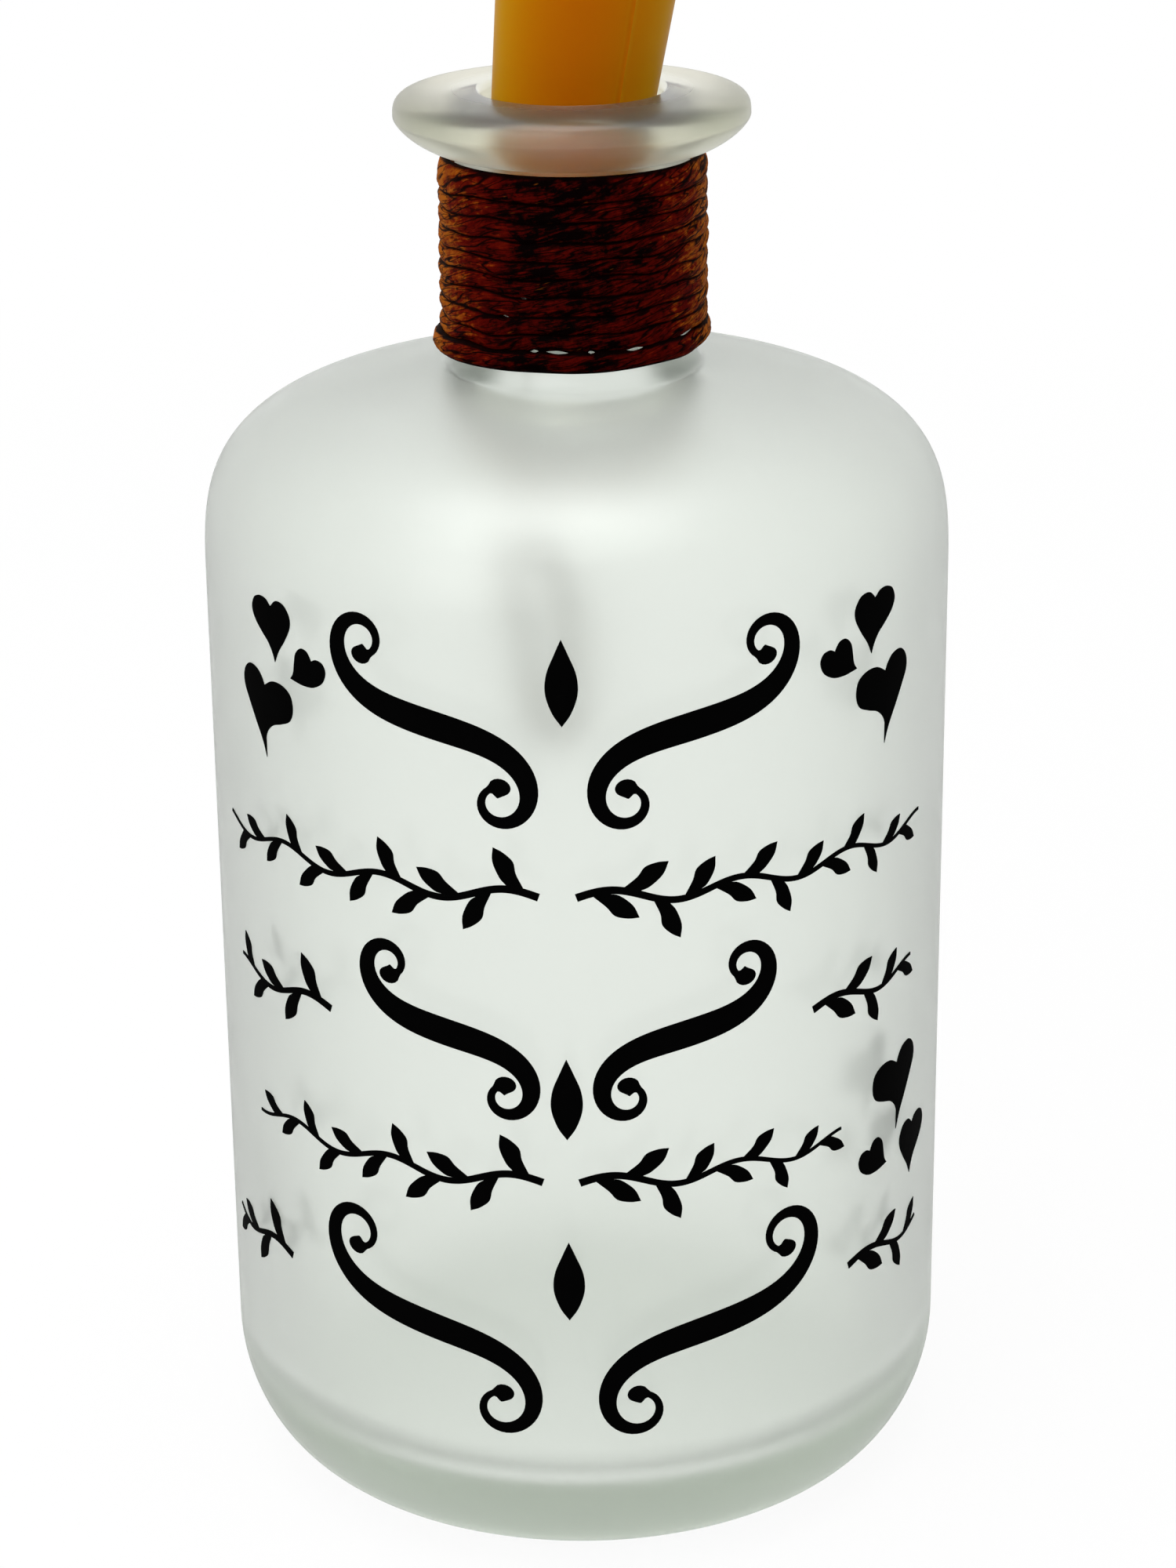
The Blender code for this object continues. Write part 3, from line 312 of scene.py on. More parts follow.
frosted_glass, glass_tree, glass_shader = finish("frosted_glass")
frost_clouds = noise_at(object_place(glass_tree), FROST_CLOUD_SIZE)
frost = wired(glass_tree, "Mix", "Result", {
    "Factor": point_value(glass_tree, "frost"), "A": POLISHED_ROUGHNESS,
    "B": span(frost_clouds, *FROST_ROUGHNESS_RANGE)})
# The lip's tint is painted amber light from the stopper, from a height up.
lip_painted_light_mask = by_height(glass_tree, *LIP_PAINTED_LIGHT_RANGE)
fill(glass_shader, {
    "Base Color": mixed(lip_painted_light_mask, GLASS_TINT, LIP_PAINTED_AMBER_LIGHT), "Roughness": frost,
    "IOR": GLASS_IOR, "Transmission Weight": GLASS_CLEARNESS})
fill(glass_tree.nodes["Material Output"], {"Volume": wired(
    glass_tree, "VolumeAbsorption", "Volume",
    {"Color": GLASS_DEPTH_COLOUR, "Density": GLASS_DEPTH_DENSITY})})

outside = outer_section()
inside = inner_section()
frost_shares = [
    *[(radius, LIP_FROST_SHARE if height > NECK_TOP else 1.0) for radius, height in outside],
    *[(radius, FLOOR_FROST_SHARE if height < INNER_HEEL_TOP else 0.0)
      for radius, height in inside],
]
bottle_mesh = lathe("bottle_glass", outside + inside, BOTTLE_SEGMENTS)
bottle_mesh.attributes.new("frost", "FLOAT", "POINT").data.foreach_set("value", [
    share for radius, share in frost_shares
    for _ in range(BOTTLE_SEGMENTS if radius > 0.0 else 1)])
place("bottle_glass", bottle_mesh, frosted_glass, "bottle", "frosted_glass", "glass_bottle")


# Neck cord. One length of dark red-brown paper, crumpled and twisted to a soft cord, and wound
# ten times round the neck. The strands press on each other, and both ends are tucked in behind.
CORD_DIAMETER = 0.00158
CORD_TURN_GAP = 0.00042
CORD_TURNS = 10
CORD_LOOSE_TURNS = 1.25
CORD_LOOSE_REACH = 0.0006
CORD_STAND_OFF = 0.0003
STRAND_HALF_DEPTH = 0.00090
STRAND_OVERLAP = 1.22
STRAND_STEPS_PER_TURN = 260
STRAND_SIDES = 40
STRAND_TWIST_LENGTH = 0.034
STRAND_WANDER = 0.00085
STRAND_WANDER_SIZE = 2.3
STRAND_WANDER_CLIMB = 0.7
STRAND_END_STEPS = 5
STRAND_END_START = 0.3
LONG_FOLD_SIZE = 1.1
LONG_FOLD_SWELL = 0.16
FINE_FOLD_SIZE = 2.3
FINE_FOLD_SHARE = 0.5
FINE_FOLD_PLACE = Vector((5.1, 0.0, 0.0))
CREASE_LENGTH = 0.0075
CREASE_WIDTH_SHARE = 0.16
CREASE_DEPTH_SHARE = 0.12
SLIT_HALF_HEIGHT = 0.00013

# Places, in turns of the cord, where two strands part and the glass shows: place and half length
SLIT_PLACE_SHARES = (
    (8.521, 0.016), (8.549, 0.006), (8.480, 0.005), (8.424, 0.014), (8.330, 0.026),
    (6.588, 0.008), (5.563, 0.009))

PAPER_BLACK = (0.0012, 0.0001, 0.0001)
PAPER_RED = (0.056, 0.0012, 0.0004)
PAPER_BROWN = (0.115, 0.0062, 0.0008)
PAPER_LIT = (0.320, 0.085, 0.0050)
PAPER_ROUGHNESS = 0.6
PAPER_GLOSS = 0.008
PAPER_GRAIN_DEPTH = 0.00010

# The paper's noises: size, detail and roughness
FIBRE_NOISE = (2.6, 6.0, 0.66)
SPOT_NOISE = (1500.0, 3.0, 0.7)
SHADE_NOISE = (330.0, 2.0, 0.5)
GLINT_NOISE = (4.2, 2.0, 0.5)
FIBRE_SHARE = 1.2
SPOT_SHARE = 0.6
SHADE_SHARE = 0.8

# The colours that come in one after the other where more light is painted on the paper: from, to,
# colour
PAPER_TONES = ((1.26, 1.54, PAPER_RED), (1.58, 1.86, PAPER_BROWN), (1.78, 2.16, PAPER_LIT))
# Painted glints where paper edges would catch the light: their strength, and where in the noise
# they show.
GLINT_DEPTH = 0.45
GLINT_RANGE = (0.70, 0.80)
# Painted shade in the paper's folds: black lines, with each one's noise size and depth.
FOLD_SHADE_LINES = ((1.2, 0.95), (2.2, 0.7))
FOLD_DETAIL = 1.5
FOLD_MIDDLE = 0.5
FOLD_SHADE_RANGE = (0.462, 0.488)
# Painted shade between the strands: its share of fibre noise, its strength and where on the
# strand's edge it falls.
GAP_SHADE_FIBRE_SHARE = 0.55
GAP_SHADE_DEPTH = 0.97
GAP_SHADE_RANGE = (1.08, 1.22)

CORD_PITCH = CORD_DIAMETER + CORD_TURN_GAP
CORD_TOP = NECK_TOP - CORD_STAND_OFF - CORD_DIAMETER / 2


def neck_reach(height):
    """Radius of the glass at a height near the root of the neck."""
    below = (SHOULDER_TOP + NECK_ROOT_HEIGHT - height) / NECK_ROOT_HEIGHT
    if below <= 0.0:
        return NECK_RADIUS
    return NECK_RADIUS + NECK_ROOT_WIDTH * (1.0 - sqrt(max(0.0, 1.0 - below ** 2)))


def cord_station(turn):
    """The middle of the cord after so many turns, with a hand winding's wander."""
    angle = pi / 2 - tau * turn
    wander = noise.noise(STRAND_WANDER_SIZE * Vector((
        cos(angle), sin(angle), turn * STRAND_WANDER_CLIMB)))
    settled = min(1.0, max(0.0, turn), max(0.0, CORD_TURNS - turn))
    height = CORD_TOP - CORD_PITCH * turn + STRAND_WANDER * wander * settled
    loose = max(0.0, (turn - CORD_TURNS + CORD_LOOSE_TURNS) / CORD_LOOSE_TURNS)
    reach = neck_reach(height - CORD_DIAMETER / 2) + CORD_STAND_OFF + CORD_DIAMETER / 2
    reach += CORD_LOOSE_REACH * sin(loose * pi / 2) ** 2
    return Vector((reach * cos(angle), reach * sin(angle), height))


def halfway(turn):
    """Half of the way from a strand down to the next one."""
    return (cord_station(turn).z - cord_station(turn + 1.0).z) / 2


def parted(turn):
    """How far the strand leaves the next one down: none, or one at an open slit."""
    return max(exp(-((turn - spot) / half) ** 2) for spot, half in SLIT_PLACE_SHARES)


def strand_reach(turn):
    """How far a strand spreads up and down; the first turn's paper stays up under the lip."""
    down = halfway(turn)
    down_half = down * STRAND_OVERLAP
    down_half += parted(turn) * (down - SLIT_HALF_HEIGHT - down_half)
    if turn < 1.0:
        up = CORD_PITCH / 2 + (CORD_TOP - cord_station(turn).z)
        return up, down, up, down_half
    up = halfway(turn - 1.0)
    up_half = up * STRAND_OVERLAP
    up_half += parted(turn - 1.0) * (up - SLIT_HALF_HEIGHT - up_half)
    return up, down, up_half, down_half


def tube_faces(steps, sides):
    """The faces of a closed tube whose corners lie ring after ring."""
    faces = []
    for first in range(0, steps * sides, sides):
        for side in range(sides):
            after = (side + 1) % sides
            faces.append((
                first + side, first + after, first + sides + after, first + sides + side))
    faces.append(list(range(sides))[::-1])
    faces.append([steps * sides + side for side in range(sides)])
    return faces


def cord_mesh(name):
    """The wound strand; its points hold their place in the rolled paper and on the strand."""
    steps = CORD_TURNS * STRAND_STEPS_PER_TURN
    corners = []
    places = []
    edges = []
    reached = 0.0
    before = cord_station(0.0)
    for index in range(steps + 1):
        turn = index / STRAND_STEPS_PER_TURN
        here = cord_station(turn)
        reached += (here - before).length
        before = here
        outward = Vector((here.x, here.y, 0.0)).normalized()
        from_end = min(index, steps - index) + STRAND_END_START
        end = sqrt(min(1.0, from_end / STRAND_END_STEPS))
        up_limit, down_limit, up_half, down_half = strand_reach(turn)
        for side in range(STRAND_SIDES):
            angle = tau * side / STRAND_SIDES
            twist = angle + tau * reached / STRAND_TWIST_LENGTH
            round_and_along = Vector((cos(twist), sin(twist), reached / CREASE_LENGTH))
            long_fold = noise.noise(round_and_along * LONG_FOLD_SIZE)
            fine_fold = noise.noise(round_and_along * FINE_FOLD_SIZE + FINE_FOLD_PLACE)
            crease = max(0.0, 1.0 - abs(long_fold) / CREASE_WIDTH_SHARE)
            crease += FINE_FOLD_SHARE * max(0.0, 1.0 - abs(fine_fold) / CREASE_WIDTH_SHARE)
            size = 1.0 + LONG_FOLD_SWELL * long_fold - CREASE_DEPTH_SHARE * crease
            up = end * sin(angle) * (up_half if angle < pi else down_half)
            out = end * cos(angle) * STRAND_HALF_DEPTH * size
            corners.append(here + outward * out + Vector((0.0, 0.0, up)))
            places.extend(round_and_along)
            edges.append(up / up_limit if up > 0.0 else -up / down_limit)
    mesh = smooth_mesh(name, corners, tube_faces(steps, STRAND_SIDES))
    mesh.attributes.new("rolled_place", "FLOAT_VECTOR", "POINT").data.foreach_set("vector", places)
    mesh.attributes.new("strand_edge", "FLOAT", "POINT").data.foreach_set("value", edges)
    return mesh


def summed(*parts):
    """The sum of masks, each with its weight."""
    total = 0.0
    for source, weight in parts:
        total = wired(
            source.id_data, "Math", "Value", {0: source, 1: weight, 2: total},
            operation="MULTIPLY_ADD")
    return total


def twisted_paper():
    """Dark paper, painted lighter and redder where light would fall, with painted glints, painted
    shade in fold lines and painted black shade between strands.
    """
    material, tree, shader = finish("twisted_paper")
    rolled = point_value(tree, "rolled_place", "Vector")
    neck = object_place(tree)
    # Painted light: the paper is painted lighter and redder towards the sides of the neck by a
    # facing mask on the neck's outward direction, and mottled by noise.
    level = wired(
        tree, "VectorMath", "Vector", {0: neck, 1: (1.0, 1.0, 0.0)}, operation="MULTIPLY")
    outward = wired(tree, "VectorMath", "Vector", {0: level}, operation="NORMALIZE")
    fibre = noise_at(rolled, *FIBRE_NOISE)
    painted_light_and_mottle = summed(
        (wired(tree, "LayerWeight", "Facing", {"Normal": outward}), 1.0), (fibre, FIBRE_SHARE),
        (noise_at(neck, *SPOT_NOISE), SPOT_SHARE), (noise_at(neck, *SHADE_NOISE), SHADE_SHARE))
    colour = PAPER_BLACK
    for start, end, tone in PAPER_TONES:
        colour = mixed(span(painted_light_and_mottle, 0.0, 1.0, start, end), colour, tone)
    # Painted highlights: thin pale glints where the paper's edges would catch the light.
    glint_noise = noise_at(rolled, *GLINT_NOISE)
    colour = mixed(span(glint_noise, 0.0, GLINT_DEPTH, *GLINT_RANGE), colour, PAPER_LIT)
    # Painted shade: thin black lines along the paper's folds.
    for size, depth in FOLD_SHADE_LINES:
        waves = noise_at(rolled, size, FOLD_DETAIL)
        line = wired(tree, "Math", "Value", {0: waves, 1: FOLD_MIDDLE}, operation="PINGPONG")
        colour = mixed(span(line, 0.0, depth, *FOLD_SHADE_RANGE), colour, PAPER_BLACK)
    # Painted shade: black where the strands meet, in the grooves between turns.
    gap_shade = summed((point_value(tree, "strand_edge"), 1.0), (fibre, GAP_SHADE_FIBRE_SHARE))
    colour = mixed(span(gap_shade, 0.0, GAP_SHADE_DEPTH, *GAP_SHADE_RANGE), colour, PAPER_BLACK)
    fill(shader, {
        "Base Color": colour, "Roughness": PAPER_ROUGHNESS, "Specular IOR Level": PAPER_GLOSS,
        "Normal": wired(
            tree, "Bump", "Normal", {"Distance": PAPER_GRAIN_DEPTH, "Height": fibre})})
    return material


place(
    "cord_winding", cord_mesh("cord_winding"), twisted_paper(), "bottle", "paper_cord",
    "neck_cord")


# Hearts. Small black hearts, cut from satin film and pressed on the glass in threes: a slim, a
# small and a large one in each group.
FILM_LIFT = 0.00002
FILM_THICKNESS = 0.00008
FILM_FACET = 0.0007
FILM_SHARP_ANGLE = radians(30)
FILM_FIELD_MARGIN = 0.0039
FILM_FIELD_HEIGHT = WALL_TOP + FILM_FIELD_MARGIN
FILM_LOOK = (
    (0.0006, 0.0006, 0.0006), (0.0014, 0.0014, 0.0014), 0.42, 0.56, 150.0, 2500.0, 0.000004)
FILM_GLOSS = 0.002
LEFT = -1
RIGHT = 1
SLIM_HEART_SHARES = (
    ((0.52, 0.88), (0.67, 1.00), (0.87, 0.97), (1.00, 0.80), (0.99, 0.62), (0.86, 0.40),
     (0.70, 0.19), (0.60, 0.00)),
    ((0.60, 0.00), (0.54, 0.14), (0.43, 0.29), (0.26, 0.42), (0.08, 0.58), (0.00, 0.75),
     (0.07, 0.92), (0.23, 0.99), (0.40, 0.97), (0.52, 0.88)),
)
SMALL_HEART_SHARES = (
    ((0.62, 0.74), (0.75, 0.81), (0.92, 0.75), (1.00, 0.52), (0.91, 0.22), (0.67, 0.03),
     (0.38, 0.00), (0.16, 0.04), (0.00, 0.08)),
    ((0.00, 0.08), (0.09, 0.26), (0.13, 0.55), (0.18, 0.82), (0.32, 1.00), (0.48, 0.98),
     (0.57, 0.86), (0.62, 0.74)),
)
LARGE_HEART_SHARES = (
    ((0.46, 0.83), (0.62, 0.91), (0.81, 0.91), (0.96, 0.83), (1.00, 0.67), (0.94, 0.53),
     (0.79, 0.46), (0.61, 0.40), (0.49, 0.30), (0.45, 0.18), (0.46, 0.00)),
    ((0.46, 0.00), (0.38, 0.18), (0.24, 0.38), (0.10, 0.58), (0.00, 0.74), (0.01, 0.89),
     (0.13, 1.00), (0.30, 0.99), (0.41, 0.91), (0.46, 0.83)),
)
HEART_KINDS = (
    ("slim", SLIM_HEART_SHARES, 0.0070, 0.0070),
    ("small", SMALL_HEART_SHARES, 0.0055, 0.0041),
    ("large", LARGE_HEART_SHARES, 0.0095, 0.0100),
)
HEART_PLACE_SHARES = (
    ("upper_left", LEFT, (0.574, 0.986), (0.482, 0.959), (0.593, 0.895)),
    ("upper_right", RIGHT, (0.547, 0.992), (0.458, 0.966), (0.571, 0.906)),
    ("lower_right", RIGHT, (0.708, 0.391), (0.566, 0.410), (0.633, 0.470)),
)
HEART_CURVE_STEPS = 6


def smooth_path(knots, steps):
    """A smooth curve through given points."""
    knots = [Vector(knot) for knot in knots]
    ends = [knots[0] * 2 - knots[1], *knots, knots[-1] * 2 - knots[-2]]
    points = []
    for before, here, there, after in zip(ends, ends[1:], ends[2:], ends[3:]):
        for index in range(steps):
            share = index / steps
            points.append(0.5 * (
                2 * here
                + (there - before) * share
                + (2 * before - 5 * here + 4 * there - after) * share ** 2
                + (3 * here - before - 3 * there + after) * share ** 3
            ))
    points.append(knots[-1])
    return points


def on_glass(across, height, lift):
    """A place on the wall, by the distance round the glass from the front and the height."""
    angle = across / BODY_RADIUS
    reach = BODY_RADIUS + lift
    return Vector((reach * sin(angle), -reach * cos(angle), height))


def mesh_of(shape, name):
    """The mesh of a worked shape."""
    mesh = bpy.data.meshes.new(name)
    shape.to_mesh(mesh)
    shape.free()
    return mesh


def edged(mesh, sharp_angle):
    """Shades a mesh smooth, but for its edges that bend by more than an angle."""
    mesh.shade_smooth()
    mesh.set_sharp_from_angle(angle=sharp_angle)
    return mesh


def film_mesh(name, flat):
    """The cut film on the round wall, from its flat shape."""
    low = min(v.co.x for v in flat.verts)
    high = max(v.co.x for v in flat.verts)
    strips = max(1, ceil((high - low) / FILM_FACET))
    for index in range(1, strips):
        bmesh.ops.bisect_plane(
            flat, geom=flat.verts[:] + flat.edges[:] + flat.faces[:],
            plane_co=(low + (high - low) * index / strips, 0.0, 0.0), plane_no=(1.0, 0.0, 0.0))
    flat.verts.index_update()
    shape = bmesh.new()
    inner, outer = (
        [shape.verts.new(on_glass(v.co.x, v.co.z, lift)) for v in flat.verts]
        for lift in (FILM_LIFT, FILM_LIFT + FILM_THICKNESS)
    )
    for face in flat.faces:
        loop = [v.index for v in face.verts]
        shape.faces.new([outer[i] for i in loop])
        shape.faces.new([inner[i] for i in reversed(loop)])
    for edge in flat.edges:
        if len(edge.link_faces) == 1:
            a, b = (v.index for v in edge.verts)
            shape.faces.new((inner[a], inner[b], outer[b], outer[a]))
    flat.free()
    bmesh.ops.recalc_face_normals(shape, faces=shape.faces[:])
    return edged(mesh_of(shape, name), FILM_SHARP_ANGLE)


def flat_shape(outline):
    """A flat shape inside an outline of (across, height) places."""
    flat = bmesh.new()
    flat.faces.new([flat.verts.new((across, 0.0, height)) for across, height in outline])
    bmesh.ops.triangulate(flat, faces=flat.faces[:], ngon_method="EAR_CLIP")
    return flat


def skin_group():
    """Shader group for moulded and drawn surfaces: clouded colour, uneven gloss, fine grain."""
    group = bpy.data.node_groups.new("surface_skin", "ShaderNodeTree")
    for way, kind, names in (
        ("INPUT", "Color", ("Base", "Shade")),
        ("INPUT", "Float", ("Cloud Size", "Grain Size", "Grain Depth", "Smooth", "Rough")),
        ("OUTPUT", "Color", ("Color",)),
        ("OUTPUT", "Float", ("Roughness",)),
        ("OUTPUT", "Vector", ("Normal",)),
    ):
        for name in names:
            group.interface.new_socket(name, in_out=way, socket_type=f"NodeSocket{kind}")
    given = group.nodes.new("NodeGroupInput").outputs
    where = object_place(group)
    clouding = noise_at(where, given["Cloud Size"])
    grain = noise_at(where, given["Grain Size"])
    fill(group.nodes.new("NodeGroupOutput"), {
        "Color": mixed(clouding, given["Base"], given["Shade"]),
        "Roughness": span(grain, given["Smooth"], given["Rough"]),
        "Normal": wired(
            group, "Bump", "Normal", {"Height": grain, "Distance": given["Grain Depth"]})})
    return group


surface_skin = skin_group()


def skinned(name, look, fixed=()):
    """A new material with the surface skin on it, and fixed values for its other sockets.

    A look is the colour and its shade, the least and most roughness, the clouds and the grains
    to the metre, and the grain's depth.
    """
    material, tree, shader = finish(name)
    skin = tree.nodes.new("ShaderNodeGroup")
    skin.node_tree = surface_skin
    fill(skin, dict(zip((
        "Base", "Shade", "Smooth", "Rough", "Cloud Size", "Grain Size", "Grain Depth"), look)))
    fill(shader, {
        "Base Color": skin.outputs["Color"], "Roughness": skin.outputs["Roughness"],
        "Normal": skin.outputs["Normal"], **dict(fixed)})
    return material


black_film = skinned("black_film", FILM_LOOK, {"Specular IOR Level": FILM_GLOSS})


def place_film(node, flat):
    """Puts one cut film on the glass, in place of its solid."""
    place(f"film_{node}", film_mesh(f"film_{node}", flat), black_film, "bottle", "black_film", node)


for group, side, *spots in HEART_PLACE_SHARES:
    for (kind, spans, width, height), (round_share, up_share) in zip(HEART_KINDS, spots):
        middle = side * BODY_RADIUS * pi / 2 * round_share
        level = FILM_FIELD_HEIGHT * up_share
        outline = []
        for part in spans:
            knots = [(-side * (u - 0.5) * width, 0.0, (v - 0.5) * height) for u, v in part]
            for point in smooth_path(knots, HEART_CURVE_STEPS)[:-1]:
                outline.append((middle + point.x, level + point.z))
        place_film(f"heart_{group}_{kind}", flat_shape(outline))


# Scrolls. Pairs of thick and thin strokes with a ball at each curled end, each cut in one piece
# from the same film and pressed on the front of the glass.
ORNAMENT_SHIFT = 0.0018
SCROLL_THIN = 0.0007
SCROLL_THICK = 0.0032
SCROLL_BALL_RADIUS = 0.0011
SCROLL_CURL = radians(400)
SCROLL_HEADING = radians(12)
SCROLL_POWER = 2.6
SCROLL_STEPS = 60
SCROLL_SUBSTEPS = 3
SCROLL_CROWDING = 1.5
SCROLL_PLACE_SHARES = (
    ("top", 0.929, 0.345, 1.262),
    ("middle", 0.609, 0.317, 1.095),
    ("bottom", 0.282, 0.393, 1.429),
)


def scroll_share(index):
    """How far out on a scroll a station lies; they crowd at its ends."""
    return 1.0 - (1.0 - abs(index) / SCROLL_STEPS) ** SCROLL_CROWDING


def scroll_direction(share):
    return SCROLL_HEADING + SCROLL_CURL * share ** SCROLL_POWER


def scroll_line(length, side):
    """Stations along an S-scroll from end to end, each with its place and direction."""
    here = Vector((0.0, 0.0))
    reached = 0.0
    half = [(here, SCROLL_HEADING)]
    for index in range(1, SCROLL_STEPS + 1):
        stride = (scroll_share(index) - reached) / SCROLL_SUBSTEPS
        for part in range(SCROLL_SUBSTEPS):
            angle = scroll_direction(reached + (part + 0.5) * stride)
            here = here + stride * length / 2 * Vector((cos(angle), sin(angle)))
        reached = scroll_share(index)
        half.append((here, scroll_direction(reached)))
    line = [(-spot, angle) for spot, angle in half[:0:-1]] + half
    if side == LEFT:
        line = [(Vector((-spot.x, spot.y)), pi - angle) for spot, angle in line]
    return line


def scroll_half_widths(length):
    """Half the stroke's width at each station: thick in the middle, thin, then a ball."""
    halves = []
    for index in range(-SCROLL_STEPS, SCROLL_STEPS + 1):
        share = scroll_share(index)
        half = SCROLL_THIN / 2 + (SCROLL_THICK - SCROLL_THIN) / 2 * (1.0 - share ** 2) ** 2
        from_end = length / 2 * (1.0 - share)
        if from_end < 2 * SCROLL_BALL_RADIUS:
            ball = SCROLL_BALL_RADIUS ** 2 - (from_end - SCROLL_BALL_RADIUS) ** 2
            least = SCROLL_THIN / 2 if from_end > SCROLL_BALL_RADIUS else SCROLL_THIN / 8
            half = sqrt(max(ball, least ** 2))
        halves.append(half)
    return halves


def ribbon(line, half_widths, centre):
    """A flat ribbon along its stations, with its two rows of corners."""
    flat = bmesh.new()
    rows = ([], [])
    for (spot, angle), half in zip(line, half_widths):
        aside = Vector((-sin(angle), cos(angle))) * half
        for row, sign in zip(rows, (1, -1)):
            corner = spot + aside * sign
            row.append(flat.verts.new((centre[0] + corner.x, 0.0, centre[1] + corner.y)))
    for index in range(len(line) - 1):
        flat.faces.new((
            rows[0][index], rows[1][index], rows[1][index + 1], rows[0][index + 1]))
    return flat, rows


for row, up_share, reach_share, length_share in SCROLL_PLACE_SHARES:
    for name, side in (("left", LEFT), ("right", RIGHT)):
        length = BODY_RADIUS * length_share
        centre = (side * BODY_RADIUS * reach_share - ORNAMENT_SHIFT, FILM_FIELD_HEIGHT * up_share)
        stroke = ribbon(scroll_line(length, side), scroll_half_widths(length), centre)[0]
        place_film(f"scroll_{row}_{name}", stroke)


# Drops. A pointed leaf between the two scrolls of each row, cut from the same film and pressed
# on the glass.
DROP_CURVE_STEPS = 6
DROP_WIDTH = 0.0034
DROP_HEIGHT = 0.0096
DROP_EDGE_SHARES = (
    (0.0, 0.0), (0.30, 0.16), (0.50, 0.38), (0.46, 0.60), (0.22, 0.82), (0.0, 1.0))
DROP_PLACE_SHARES = (("top", 0.977), ("middle", 0.545), ("bottom", 0.345))

for row, up_share in DROP_PLACE_SHARES:
    low = FILM_FIELD_HEIGHT * up_share - DROP_HEIGHT / 2
    knots = [(u * DROP_WIDTH, 0.0, v * DROP_HEIGHT) for u, v in DROP_EDGE_SHARES]
    edge = smooth_path(knots, DROP_CURVE_STEPS)
    right = [(point.x, point.z) for point in edge]
    left = [(-across, up) for across, up in reversed(right[1:-1])]
    outline = [(across - ORNAMENT_SHIFT, low + up) for across, up in right + left]
    place_film(f"drop_{row}", flat_shape(outline))


# Vines. Waving stems with leaves on alternate sides, each cut from the same film in one piece and
# pressed on the glass.
VINE_STEM_WIDTH = 0.0009
VINE_TIP_SHARE = 0.4
VINE_STATION = 0.0017
VINE_SUBSTEPS = 4
VINE_WAVE = 0.0008
VINE_WAVE_LENGTH = 0.0144
LEAF_LENGTH = 0.0050
LEAF_WIDTH = 0.0024
LEAF_LEAN = radians(48)
LEAF_TIP_SHARE = 0.65
LEAF_CURVE_STEPS = 4
LEAF_UPPER_SHARES = ((0.25, 0.34), (0.52, 0.50), (0.80, 0.30), (1.0, 0.0))
LEAF_LOWER_SHARES = ((1.0, 0.0), (0.72, -0.34), (0.34, -0.42))
VINE_PLACE_SHARES = (
    ("upper_left", LEFT, -0.107, 0.759, 1.071),
    ("upper_right", RIGHT, -0.012, 0.759, 1.119),
    ("lower_left", LEFT, -0.107, 0.4545, 0.952),
    ("lower_right", RIGHT, -0.012, 0.4545, 0.762),
    ("side_left", LEFT, -0.714, 0.6045, 0.429),
    ("side_right", RIGHT, 0.643, 0.6045, 0.429),
    ("foot_left", LEFT, -0.917, 0.300, 0.357),
    ("foot_right", RIGHT, 0.786, 0.300, 0.357),
)


def vine_stem(length, side, count):
    """Stations along the stem, thinning to its tip: place, direction and half width."""
    line = []
    halves = []
    for index in range(count + 1):
        along = length * index / count
        phase = tau * along / VINE_WAVE_LENGTH
        slope = VINE_WAVE * tau / VINE_WAVE_LENGTH * cos(phase)
        line.append((
            Vector((side * along, VINE_WAVE * sin(phase))), atan2(slope, side)))
        halves.append(VINE_STEM_WIDTH / 2 * (1.0 - (1.0 - VINE_TIP_SHARE) * index / count))
    return line, halves


for name, side, start_share, up_share, length_share in VINE_PLACE_SHARES:
    length = BODY_RADIUS * length_share
    nodes_on_stem = round(length / VINE_STATION)
    line, halves = vine_stem(length, side, nodes_on_stem * VINE_SUBSTEPS)
    flat, rows = ribbon(line, halves, (BODY_RADIUS * start_share, FILM_FIELD_HEIGHT * up_share))
    for number, index in enumerate(range(1, nodes_on_stem - 1, 2)):
        way = 1 if number % 2 else -1
        row = rows[0 if number % 2 else 1]
        start = index * VINE_SUBSTEPS
        base, beyond = row[start], row[start + VINE_SUBSTEPS]
        angle = line[start][1] + way * LEAF_LEAN
        size = 1.0 - (1.0 - LEAF_TIP_SHARE) * index / nodes_on_stem
        along = Vector((cos(angle), 0.0, sin(angle))) * LEAF_LENGTH * size
        across = Vector((-sin(angle), 0.0, cos(angle))) * LEAF_WIDTH * size * way
        root = (base.co + beyond.co) / 2
        upper, lower = (
            [root + along * u + across * v for u, v in shares]
            for shares in (LEAF_UPPER_SHARES, LEAF_LOWER_SHARES))
        upper = smooth_path([base.co, *upper], LEAF_CURVE_STEPS)[1:]
        lower = smooth_path([*lower, beyond.co], LEAF_CURVE_STEPS)[1:-1]
        rim = [flat.verts.new(point) for point in upper + lower]
        stem_side = list(reversed(row[start + 1:start + VINE_SUBSTEPS]))
        flat.faces.new((base, *rim, beyond, *stem_side))
    place_film(f"vine_{name}", flat)


